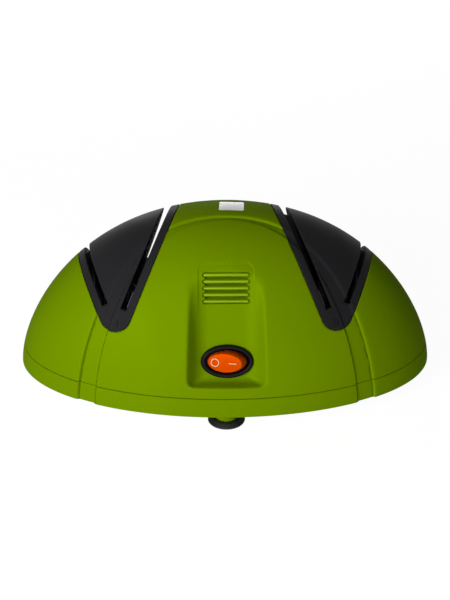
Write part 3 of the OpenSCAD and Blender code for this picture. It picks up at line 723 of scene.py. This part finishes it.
# %% [markdown]
# ## Finishes
# The housing is satin moulded plastic: one colour, a gloss that varies a little, and the
# fine grain that a spark-eroded mould leaves. Metal, rubber and stone follow the same plan
# with other numbers: the colour, the roughness, and what differs from plain plastic.

# %% Plastics, rubber and metals
MOULDED = dict(patch=12, spread=0.03, grain=2600)
FINISHES = {
    "green_housing": ((124, 158, 0), 0.55, dict(MOULDED, metal=0.08, bump=0.12, specular=0)),
    # The ribs' green is lighter and more metallic than the housing's: a painted highlight on
    # their rounded tops, same plastic as the housing.
    "rib_green_painted_highlight": ((158, 190, 20), 0.4, dict(MOULDED, metal=0.2, bump=0.03, specular=0.1)),
    "black_guide": ((42, 41, 43), 0.55, dict(patch=20, grain=2600, bump=0.16, specular=0.04)),
    # The spring steel's colour is kept dark as painted shade, for the springs that sit in the
    # shade inside the guide slots.
    "spring_steel": ((52, 54, 62), 0.5, dict(metal=1, patch=60, grain=1500, stretch=(1, 8, 8))),
    "white_plate": ((240, 240, 237), 0.4, dict(metal=0.2, patch=60, spread=0.02)),
    "switch_black": ((13, 10, 11), 0.3, dict(patch=60, grain=3000, bump=0.04, specular=0.08)),
    "rocker_orange": ((236, 86, 0), 0.35, dict(
        metal=0.1, patch=60, spread=0.03, grain=3000, bump=0.03, specular=0,
        Subsurface_Weight=0.5, Subsurface_Radius=(1.0, 0.35, 0.1), Subsurface_Scale=0.003)),
    "brass_parts": ((200, 165, 90), 0.3, dict(metal=1, patch=80)),
    "foot_rubber": ((26, 26, 28), 0.5, dict(patch=50, bump=0.1)),
    "motor_iron": ((120, 122, 126), 0.45, dict(metal=1, patch=40, grain=2200, bump=0.4,
                                               stretch=(12, 0.4, 0.4))),
    "white_nylon": ((226, 222, 208), 0.5, dict(patch=40)),
    "turned_steel": ((186, 188, 192), 0.25, dict(metal=1, patch=50, grain=1800,
                                                 stretch=(10, 1, 1))),
    "zinc_bracket": ((176, 182, 190), 0.42, dict(metal=1, patch=90, spread=0.12)),
    "sintered_bronze": ((168, 126, 78), 0.5, dict(metal=1, patch=200, grain=3000, bump=0.3)),
    "screw_steel": ((200, 202, 206), 0.28, dict(metal=1, patch=120)),
    "tray_plastic": ((214, 222, 226), 0.3, dict(patch=30, spread=0.03)),
    "gland_rubber": ((30, 30, 32), 0.6, dict(patch=60, bump=0.1)),
    "mark_white": ((255, 224, 190), 0.45, dict(patch=80)),
}
for name, (colour, rough, rest) in FINISHES.items():
    paints[name] = finish(name, srgb(*colour), rough, **rest)


# %% [markdown]
# A stone is grit in a bond: dark and light grains at a scale of a fraction of a millimetre
# for the coarse stone and much finer for the other. The coil is lacquered wire, so its finish
# is a row of fine rings along the coil's axis.

# %% Stones and winding
def stone(name, dark, light, grains):
    """Grit of that many grains per metre, each grain with its own grey."""
    material, tree, shader = new_material(name, Roughness=0.9)
    cells = add(tree, "TexVoronoi", Scale=grains,
                Vector=add(tree, "TexCoord").outputs["Object"])
    grit = add(tree, "SeparateColor", Color=cells.outputs["Color"]).outputs["Red"]
    set_inputs(shader, Normal=relief(tree, cells.outputs["Distance"], 0.0003, 0.6),
               Base_Color=ramp(tree, grit, [(0, dark), (0.75, tint(dark, 1.5)), (1, light)]))
    return material


paints["coarse_stone"] = stone("coarse_stone", srgb(52, 50, 49), srgb(122, 120, 117), 1600)
paints["fine_stone"] = stone("fine_stone", srgb(74, 71, 66), srgb(130, 126, 118), 3200)

wire, tree, copper = new_material("copper_winding", Metallic=1, Roughness=0.3)
rings = add(tree, "TexWave", Scale=600, Distortion=0.6,
            Vector=add(tree, "TexCoord").outputs["Object"])
rings.bands_direction = "Z"
turns = rings.outputs["Fac"]
set_inputs(copper, Normal=relief(tree, turns, 0.0003),
           Base_Color=ramp(tree, turns, [(0.1, srgb(90, 42, 18)), (0.8, srgb(196, 110, 58))]))
paints["copper_winding"] = wire
print("finishes:", len(paints))

for node, thing in frame["nodes"].items():
    thing.data.materials.clear()
    thing.data.materials.append(paints[slots[node]])


# %% [markdown]
# ## The upper housing
# The outer and the inner skin are two spun profiles, narrowed from front to back and bridged
# at the parting line, so the shell is closed and has its real wall.

# %% Domes and wedges
EDGE_RINGS = (0.06, 0.16, 0.3, 0.5, 1.0)


def dome_sheet(low, off, rings, steps, extra=()):
    """One skin of the dome from height low up to its pole, off inside the outer one.
    Rings at the extra heights over low make room for a rolled edge."""
    tall = BODY_H - off - FOOT_H
    start = asin(sqrt(((low - FOOT_H) / tall) ** RISE))
    profile = [(dome_radius(z, off), z) for z in [low] + [low + z for z in extra]]
    for i in range(1, rings + 1):
        angle = start + (pi / 2 - start) * i / rings
        z = FOOT_H + tall * sin(angle) ** (2 / RISE)
        if z > low + (extra[-1] + 0.4 if extra else 0):
            profile.append((max(0.0, cos(angle)) ** (2 / ROUND), z))
    profile[-1] = (0, BODY_H - off)
    sheet = spun(profile, steps)
    scale(sheet, BODY_W / 2 - off, BODY_D / 2 - off, 1)
    return sheet


def solid_dome(low, off, rings=36, steps=120):
    """A closed dome with a flat underside."""
    bm = dome_sheet(low, off, rings, steps)
    bmesh.ops.edgeloop_fill(bm, edges=rim_edges(bm))
    return face_out(bm)


def wedge_cutter(side, grow, low):
    """The prism between a guide's long edges, above the height low."""
    radius, far, turns = TIP_R + grow, 150, 28
    outline = [(radius * cos(a), radius * sin(a)) for a in
               (-OPEN - (pi - 2 * OPEN) * i / turns for i in range(turns + 1))]
    outline += [(sign * (radius * COS_OPEN + far * SIN_OPEN),
                 -radius * SIN_OPEN + far * COS_OPEN) for sign in (-1, 1)]
    bm = bmesh.new()
    face = bm.faces.new([bm.verts.new((x, w + TIP_W, -far)) for x, w in outline])
    grown = bmesh.ops.extrude_face_region(bm, geom=[face])["geom"]
    bmesh.ops.translate(bm, vec=(0, 0, 2 * far),
                        verts=[v for v in grown if isinstance(v, bmesh.types.BMVert)])
    move(bm, Matrix.Translation((side * GUIDE_X, 0, 0)) @ Matrix.Rotation(TILT, 4, "X"))
    slice_off(bm, (0, 0, low), (0, 0, 1))
    return face_out(bm)


# %% Skin, recess and band of the upper housing
def housing_features(p, normal):
    """Distance to the nearest thing that needs fine faces."""
    outer, inner = arches(p, normal)
    arch = np.where(p[:, 1] < 0, np.minimum(np.abs(outer), np.abs(inner)), FAR_OFF)
    return np.minimum(arch, np.abs(guide_distance(p, normal) - GUIDE_FIT - 0.2))


def recess_features(p, normal):
    inside = over_recess(p)
    near = np.full(len(p), FAR_OFF)
    near[inside] = np.maximum(recess_value(p[inside]), 0)
    return near


def rib_features(p, normal):
    up = (p - PANEL_AT) @ PANEL_UP
    middle = RIB_TOP - RIB_SPAN / 2
    zone = rounded_box(p[:, 0], up - middle - 1.5, RIB_W / 2 + 3.5, 12.5, 1)
    return np.where(over_recess(p), np.maximum(zone, 0), FAR_OFF)


SEAM_STEPS = [(1.6, 3.0), (0.8, 1.5), (finest(0.35), 0.75)]
RECESS_WALL, INNER_FILLET = WALL + 1.5, 3.0
shell = dome_sheet(PART_Z, 0, 44, 180, extra=EDGE_RINGS)
refine(shell, recess_features, [(2.0, 4.0), (0.8, 2.0), (finest(0.5), 0.8)])
refine(shell, rib_features, [(finest(0.32), 0.5)])
refine(shell, housing_features, SEAM_STEPS)
set_points(shell, shape_housing(get_points(shell)))
inner = dome_sheet(PART_Z, WALL, 30, 180)
points = get_points(inner)
over = over_recess(points)
points[over] -= push_in(points[over], RECESS_WALL, INNER_FILLET)[:, None] * PANEL_OUT
set_points(inner, points)
bmesh.ops.reverse_faces(inner, faces=inner.faces[:])
join(shell, inner)
bmesh.ops.bridge_loops(shell, edges=rim_edges(shell))
face_out(shell)
print("housing skin:", len(shell.faces), "faces")

# %% Openings for the guides and the switch, ledges and screw posts
POSTS = [(x, y) for x in (-99, 99) for y in (-31, 31)]
POST_R, BITE, SWITCH_FIT = 4.5, 0.4, 0.4
LEDGE_OUT, LEDGE_IN, LEDGE_T = 3.0, 1.7, 1.6
for side in (-1, 1):
    shell = cut(shell, wedge_cutter(side, GUIDE_FIT, GUIDE_Z - GUIDE_FIT))
hole = lofted([(SWITCH_W + SWITCH_FIT, SWITCH_H + SWITCH_FIT, level) for level in (-12, 6)])
move(hole, SWITCH)
shell = cut(shell, hole)
for side in (-1, 1):
    ledge = cut(solid_dome(PART_Z, WALL - BITE), solid_dome(PART_Z - 1, WALL + LEDGE_T))
    ledge = cut(ledge, wedge_cutter(side, LEDGE_OUT, GUIDE_Z - LEDGE_OUT), "INTERSECT")
    join(shell, cut(ledge, wedge_cutter(side, -LEDGE_IN, GUIDE_Z + LEDGE_IN)))
for x, y in POSTS:
    post = cylinder(POST_R, PART_Z, BODY_H, 40, centre=(x, y, 0))
    join(shell, cut(post, solid_dome(PART_Z - 1, WALL - BITE), "INTERSECT"))
print("housing with openings, ledges and posts:", len(shell.faces), "faces")


# %% [markdown]
# The ribs are plain rounded bars: a small profile with a round nose at each end, spun round
# the bar's own axis. They are made deeper than they are tall, so that they rise out of the
# sunk field round them and their tops end a little above the recess's floor.

# %% Ribs
RIB_DEEPER, RIB_SUNK = 1.4, 0.6


def round_bar(length, thick):
    """A bar along x with a round nose at each end."""
    radius, turns = thick / 2, 6
    nose = [(radius * sin(a), radius * (1 - cos(a))) for a in
            (pi / 2 * i / turns for i in range(turns + 1))]
    profile = nose + [(r, length - h) for r, h in reversed(nose)]
    return spun(profile, 20, centre=(-length / 2, 0, 0), axis=(1, 0, 0))


ribs = bmesh.new()
for i in range(RIBS):
    bar = round_bar(RIB_W, RIB_T)
    scale(bar, 1, 1, RIB_DEEPER)
    move(bar, Matrix.Translation((0, RIB_TOP - i * RIB_PITCH, -RIB_SUNK)))
    move(bar, PANEL)
    join(ribs, bar)
place_piece(shell, "upper_housing", "green_housing", "housing", ["upper_shell"])
# The ribs take the lighter green, a painted highlight on their tops.
place_piece(ribs, "grille_ribs", "green_housing", "housing", paint="rib_green_painted_highlight")

# %% [markdown]
# ## The base
# The base is a shallow bowl of the same outline. Its profile is spun once: side band, rolled
# lower edge, flat underside, floor and inner wall.

# %% Base bowl
BASE_ROLL, ROLL_TURNS = 1.2, 6


def half(z, off=0.0):
    """The dome's radius at height z as a share of the body's half width."""
    return (1 - off / (BODY_W / 2)) * dome_radius(z, off)


base_top = PART_Z - PART_GAP
heights = [base_top - d for d in (0, *EDGE_RINGS, 3, 6, 9)] + [FOOT_H + BASE_ROLL]
profile = [(half(z) - rolled(base_top - z, PARTING_ROLL) / (BODY_W / 2), z) for z in heights]
for i in range(1, ROLL_TURNS + 1):
    a = pi / 2 * i / ROLL_TURNS
    back_in = BASE_ROLL * (1 - cos(a)) / ((BODY_W + BODY_D) / 4)
    profile.append((half(FOOT_H + BASE_ROLL) - back_in, FOOT_H + BASE_ROLL * (1 - sin(a))))
profile += [(0.6, FOOT_H), (0, FOOT_H), (0, FLOOR_Z), (0.6, FLOOR_Z),
            (half(FLOOR_Z, WALL) - 0.012, FLOOR_Z), (half(FLOOR_Z + 1, WALL), FLOOR_Z + 1.5),
            (half(base_top, WALL), base_top)]
base = closed_ring(profile, 240)
scale(base, BODY_W / 2, BODY_D / 2, 1)
refine(base, housing_features, SEAM_STEPS)
points = get_points(base)
outer_face = np.abs(dome_value(points)[0]) < 0.03
normal = skin_normal(points)
sunk = band_drop(points, normal, **HOUSING_BAND)[:, None] * normal * [1, 1, 0]
set_points(base, points - sunk, outer_face & (points[:, 2] > FOOT_H - 0.01))

# %% [markdown]
# Everything else that the base carries is simple turned or extruded plastic: bosses for the
# feet, posts for the screws, seats for the motor and a low fence round each tray. A tongue
# runs round inside the rim and keeps the two halves in line.

# %% Bosses, posts, fences and tongue of the base
CUP_H, CUP_D, BOSS_D = 2.8, 23.6, 14.4
FEET = {"front": (0, -59), "rear": (0, 59), "left": (-108, 0), "right": (108, 0)}
SCREW_R, SCREW_DEEP, SEAT_D, ROOT_Z = 3.9, 5.02, 11, FOOT_H + 1
GLAND_R, GLAND_Z = 5.6, FOOT_H + 7.2
CLAMP_X, CLAMP_Y, CLAMP_TOP, CLAMP_D = 9.5, BODY_D / 2 - 17, 22.4, 7
TRAY_W, TRAY_L, FENCE_IN, FENCE_OUT = 31.0, 70.0, 4.6, 7.6
TONGUE = (WALL + 0.3, WALL + 1.7)


def pillar(x, y, low, high, width, roll=0.5):
    """A round post with rolled ends."""
    r = width / 2
    bends = [(sin(a), cos(a)) for a in (pi / 8 * i for i in range(5))]
    profile = [(0, low)] + [(r - roll + roll * s, low + roll - roll * c) for s, c in bends]
    profile += [(r - roll + roll * s, high - roll + roll * c) for s, c in reversed(bends)]
    return spun(profile + [(0, high)], 40, centre=(x, y, 0))


def screw_pocket(x, y):
    """The round hole in which a housing screw's head sits, seen from below."""
    return cylinder(SCREW_R, FOOT_H - 1, FOOT_H + SCREW_DEEP, 32, centre=(x, y, 0))


base = cut(base, cylinder(GLAND_R, -12, 12, 40, centre=(0, BODY_D / 2, GLAND_Z),
                          axis=(0, 1, 0)))
for x, y in POSTS:
    base = cut(base, screw_pocket(x, y))
for x, y in POSTS:
    join(base, cut(pillar(x, y, ROOT_Z, PART_Z - 0.2, SEAT_D), screw_pocket(x, y)))
pillars = [(x, y, CUP_H + 0.1, FLOOR_Z - 0.5, BOSS_D) for x, y in FEET.values()]
pillars += [(x, y, ROOT_Z, FLOOR_Z + 2, SEAT_D) for x in (-30, 30) for y in (-17, 17)]
pillars += [(x, CLAMP_Y, ROOT_Z, CLAMP_TOP, CLAMP_D) for x in (-CLAMP_X, CLAMP_X)]
for sizes in pillars:
    join(base, pillar(*sizes))
for at in ((-GUIDE_X, 0), (GUIDE_X, 0)):
    fence = rounded_block(TRAY_W + FENCE_OUT, TRAY_L + FENCE_OUT, ROOT_Z, FLOOR_Z + 3, 7.5, at)
    room = rounded_block(TRAY_W + FENCE_IN, TRAY_L + FENCE_IN, FLOOR_Z - 1, FLOOR_Z + 9, 6, at)
    join(base, cut(fence, room))
lip = [(dome_radius(z, off) * (BODY_W / 2 - off), z) for off in TONGUE
       for z in (FLOOR_Z - 0.5, PART_Z, PART_Z + 3)]
tongue = closed_ring(lip[:3] + lip[:2:-1], 160)
scale(tongue, 1, (BODY_D / 2 - WALL) / (BODY_W / 2 - WALL), 1)
join(base, tongue)
place_piece(base, "base_bowl", "green_housing", "housing", ["base_shell"])

# %% [markdown]
# ## The knife guides
# A guide is a wedge of the dome itself, so its skin comes from the same formula and lies
# flush. Inside it is hollow, with a wall down each side of each slot. It is cut from solids
# with booleans in the same order as a toolmaker would think: wedge, hollow, slots, stone room.

# %% Guide skin
def shape_guide(p):
    """The band's lines cross the guide, and its outline and slots have rolled edges."""
    normal = skin_normal(p)
    drop = (band_drop(p, normal, **GUIDE_BAND) + rolled(-guide_distance(p, normal), GUIDE_ROLL)
            + rolled(slot_distance(p, normal), GUIDE_ROLL))
    return p - drop[:, None] * normal


def guide_features(p, normal):
    """Distance to the nearest thing that needs fine faces, on the right half only."""
    outer, inner = arches(p, normal)
    arch = np.where(p[:, 1] < 0, np.minimum(np.abs(outer + 2) / 2.5, np.abs(inner)), FAR_OFF)
    detail = np.minimum(np.abs(slot_distance(p, normal) - 0.1), arch)
    edge = guide_distance(p, normal)
    near = np.minimum(np.abs(edge + 0.2), np.where(edge < 1, detail, FAR_OFF))
    return np.where(p[:, 0] > 0, near, FAR_OFF)


def slot_box(wing, grow, ahead):
    """The room along one slot of the right guide, grow wider each way than the slot. It
    starts that far ahead of the slot's end and of its floor."""
    bm = box(grow * 2 + SLOT_W, 300, 300)
    place = (Matrix.Translation((GUIDE_X, 0, 0)) @ Matrix.Rotation(TILT, 4, "X")
             @ Matrix.Translation((0, SLOTS_MEET, 0)) @ Matrix.Rotation(-wing * OPEN, 4, "Z"))
    move(bm, place)
    corner = Vector((0, -SLOT_FRONT, SLOT_Z))
    upward = Vector((0, sin(SLOT_SLOPE), cos(SLOT_SLOPE)))
    end = (SLOT_END_OUT if wing > 0 else SLOT_END_IN) - ahead
    for at, keep in ((place @ Vector((0, end, 0)), place.to_3x3() @ Vector((0, 1, 0))),
                     (corner - upward * ahead, upward), (corner + upward * 60, -upward),
                     ((0, 90, 0), (0, -1, 0))):
        slice_off(bm, at, keep)
    return face_out(bm)


# %% Cut the right guide
STONE_D, STONE_T, SHAFT_Z, STONE_ROOM = 60.0, 18.0, 50.0, 1.2
HUB_ROOM_R, HUB_ROOM_T = 14.2, 3
guide = solid_dome(GUIDE_Z - 3, 0, 40, 150)
refine(guide, guide_features, [(2.5, 4.0), (1.2, 2.0), (finest(0.35), 0.75)])
points = get_points(guide)
set_points(guide, shape_guide(points), np.abs(dome_value(points)[0]) < 1e-5)
guide = cut(guide, wedge_cutter(1, 0, GUIDE_Z), "INTERSECT")
hollow = solid_dome(GUIDE_Z - 2, GUIDE_T, 30, 120)
for wing in (-1, 1):
    hollow = cut(hollow, slot_box(wing, GUIDE_T, GUIDE_T))
guide = cut(guide, hollow)
for wing in (-1, 1):
    guide = cut(guide, slot_box(wing, 0, 0))
room, step = STONE_D / 2 + STONE_ROOM, STONE_T / 2 + STONE_ROOM
profile = [(0, -step - HUB_ROOM_T), (HUB_ROOM_R, -step - HUB_ROOM_T), (HUB_ROOM_R, -step),
           (room, -step)]
profile += [(r, -h) for r, h in reversed(profile)]
guide = cut(guide, spun(profile, 96, centre=(GUIDE_X, 0, SHAFT_Z), axis=(1, 0, 0)))
print("guide:", len(guide.faces), "faces")

# %% [markdown]
# A rubber lip across a slot, just behind the crest, keeps the water and the grit from being
# thrown out. A blade pushes it down on its way through. The inner slot of guide 1 has none.

# %% Splash lips
LIP_T, LIP_AT, LIP_SUNK, LIP_BITE = 1.5, 6.0, 3.0, 0.3


def splash_lip(wing):
    """A sheet of rubber across one slot of the right guide, a little under its skin."""
    lip = cut(slot_box(wing, LIP_BITE, 0), solid_dome(GUIDE_Z, LIP_SUNK, 30), "INTERSECT")
    sheet = box(300, LIP_T, 300)
    move(sheet, Matrix.Translation((0, LIP_AT, 0)))
    return cut(lip, sheet, "INTERSECT")


lip = splash_lip(1)
lips = join(splash_lip(-1), lip.copy())
place_piece(mirror(lip), "splash_lip_1", "black_guide", "guide_1", paint="gland_rubber")
place_piece(lips, "splash_lips_2", "black_guide", "guide_2", paint="gland_rubber")


# %% [markdown]
# The left guide is the right one mirrored. Each carries its stage number, 1 for the coarse
# stone and 2 for the fine one, as a shallow raised figure on its front end. A figure is a
# text object turned into a mesh and wrapped onto the skin.

# %% Numbers and the left guide
FIGURE_X, FIGURE_Z, FIGURE_H, FIGURE_LIFT, FIGURE_ROOT = 67.5, 66, 5.5, 0.75, 0.6


def figure(text, at_x, at_z):
    """A raised figure on the dome's front, at x and z."""
    curve = bpy.data.curves.new("figure", "FONT")
    curve.body, curve.size, curve.extrude = text, FIGURE_H, 0.3
    curve.align_x, curve.align_y = "CENTER", "CENTER"
    thing = linked("figure", curve)
    bm = evaluated(thing)
    bpy.data.objects.remove(thing)
    bpy.data.curves.remove(curve)
    reach = BODY_D / 2 * (dome_radius(at_z) ** ROUND
                          - abs(at_x / (BODY_W / 2)) ** ROUND) ** (1 / ROUND)
    spot = onto_dome(np.array([[at_x, -reach, at_z]]))
    out = Vector(skin_normal(spot)[0])
    across = Vector((0, 0, 1)).cross(out).normalized()
    place = Matrix((across, out.cross(across), out)).transposed().to_4x4()
    place.translation = Vector(spot[0])
    move(bm, place)
    points = get_points(bm)
    on_top = (points - spot[0]) @ np.array(out) > 0
    flat = onto_dome(points)
    normal = skin_normal(flat)
    lift = np.where(on_top, FIGURE_LIFT, -FIGURE_ROOT) - band_drop(flat, normal, **GUIDE_BAND)
    set_points(bm, flat + normal * lift[:, None])
    return face_out(bm)


left = mirror(guide.copy())
join(guide, figure("2", FIGURE_X, FIGURE_Z))
join(left, figure("1", -FIGURE_X, FIGURE_Z))
place_piece(guide, "guide_fine", "black_guide", "guide_2", ["knife_guide_2"])
place_piece(left, "guide_coarse", "black_guide", "guide_1", ["knife_guide_1"])

# %% [markdown]
# ## The switch
# The bezel and the switch body are one black moulding. It is lofted through ovals: each step
# of its outline is an ellipse with its own height, bridged to the next.

# %% Bezel and switch body
BODY_LOW, HOLE_LOW, HOLE_FIT = -18, -11, 0.4
rounding = [(0, 0), (0, 1.5), (0.25, 2.2), (0.8, 2.7), (1.6, 2.95), (2.6, 3.0), (4.0, 2.95),
            (5.2, 2.7), (6.2, 2.25), (6.8, 1.6)]
ovals = [(SWITCH_W, SWITCH_H, level) for level in (BODY_LOW, 0)]
ovals += [(BEZEL_W - d, BEZEL_H - d, level) for d, level in rounding]
ovals += [(ROCKER_W + HOLE_FIT, ROCKER_H + HOLE_FIT, level) for level in (1.0, HOLE_LOW)]
bezel = lofted(ovals)
move(bezel, SWITCH)
place_piece(bezel, "switch_bezel", "switch_black", "housing", ["switch_housing"])

# %% [markdown]
# The rocker is a ball that is squeezed flat from top to bottom and cut off level for the two
# thumb faces. It rests tilted to its off side, so its right half stands proud.

# %% Rocker with its marks
ROCKER_LOW, PIN_R, PIN_HALF = -5, 1.2, 6.8
MARK_LOW, MARK_HIGH = ROCKER_TOP - 0.2, ROCKER_TOP + 0.06
AT_REST = SWITCH @ Matrix.Rotation(-ROCKER_TILT, 4, "Y")
rocker = spun([(ROCKER_W / 2 * cos(a), ROCKER_H / 2 * sin(a)) for a in
               (-pi / 2 + pi * i / 40 for i in range(41))], 120, axis=(0, 1, 0))
slice_off(rocker, (0, 0, ROCKER_TOP), (0, 0, -1))
crown = [e for e in rocker.edges if all(abs(v.co.z - ROCKER_TOP) < 1e-4 for v in e.verts)]
bmesh.ops.bevel(rocker, geom=crown, offset=0.5, segments=4, profile=0.5, affect="EDGES",
                material=-1)
slice_off(rocker, (0, 0, ROCKER_LOW), (0, 0, 1))
face_out(rocker)
join(rocker, cylinder(PIN_R, -PIN_HALF, PIN_HALF, 24, axis=(0, 1, 0)))
move(rocker, AT_REST)
place_piece(rocker, "rocker", "rocker_orange", "rocker", ["switch_rocker"])

marks = closed_ring([(2.15, MARK_LOW), (2.6, MARK_LOW), (2.6, MARK_HIGH), (2.15, MARK_HIGH)],
                    64, centre=(-6.2, 0, 0))
join(marks, rounded_block(4.8, 0.45, MARK_LOW, MARK_HIGH, 0.2, (5.0, 0)))
move(marks, AT_REST)
place_piece(marks, "rocker_marks", "rocker_orange", "rocker", paint="mark_white")

# %% [markdown]
# ## Plate and feet
# The bare plate on the crown is a thin sticker with rounded corners. It starts as a rounded
# outline, gets rings inside it, and is then laid on the dome.

# %% Bare plate
PLATE_W, PLATE_L, PLATE_R, PLATE_SUNK = 15.5, 13, 1.2, 0.12
rings = [(0.2, 0, 0), (1, 0, 0), (1, 0, 0.42), (1, 0.06, 0.48), (1, 0.18, 0.5),
         (0.85, 0, 0.5), (0.65, 0, 0.5), (0.45, 0, 0.5), (0.2, 0, 0.5)]
plate = stacked([rounded_outline(PLATE_W * share - 2 * back, PLATE_L * share - 2 * back,
                                 PLATE_R * share, level) for share, back, level in rings])
move(plate, Matrix.Translation((4, 3.5, 0)) @ Matrix.Rotation(radians(-2), 4, "Z"))
points = get_points(plate)
from_pole = np.hypot(points[:, 0] / (BODY_W / 2), points[:, 1] / (BODY_D / 2))
crown_z = FOOT_H + (BODY_H - FOOT_H) * (1 - from_pole ** ROUND) ** (1 / RISE)
points[:, 2] = crown_z + (points[:, 2] - PLATE_SUNK)
set_points(plate, points)
place_piece(plate, "bare_plate", "white_plate", "housing", ["name_plate"])

# %% Suction feet
r = CUP_D / 2
cup = [(0, 1.5), (r - 6, 1.4), (r - 4.2, 1.1), (r - 2.4, 0.45), (r - 1.2, 0.05), (r - 0.5, 0),
       (r - 0.1, 0.12), (r, 0.4), (r - 0.05, 0.75), (r - 0.5, 1.15), (r - 1.3, 1.6),
       (r - 2.2, 2.3), (r - 2.8, 2.7), (r - 3.3, CUP_H), (4.2, CUP_H), (4.0, CUP_H + 0.3),
       (4.0, CUP_H + 6.3), (3.8, CUP_H + 6.5), (0, CUP_H + 6.5)]
for name, (x, y) in FEET.items():
    foot = spun(cup, 72, centre=(x, y, 0))
    place_piece(foot, "foot_" + name, "foot_rubber", "housing", ["suction_foot_" + name])
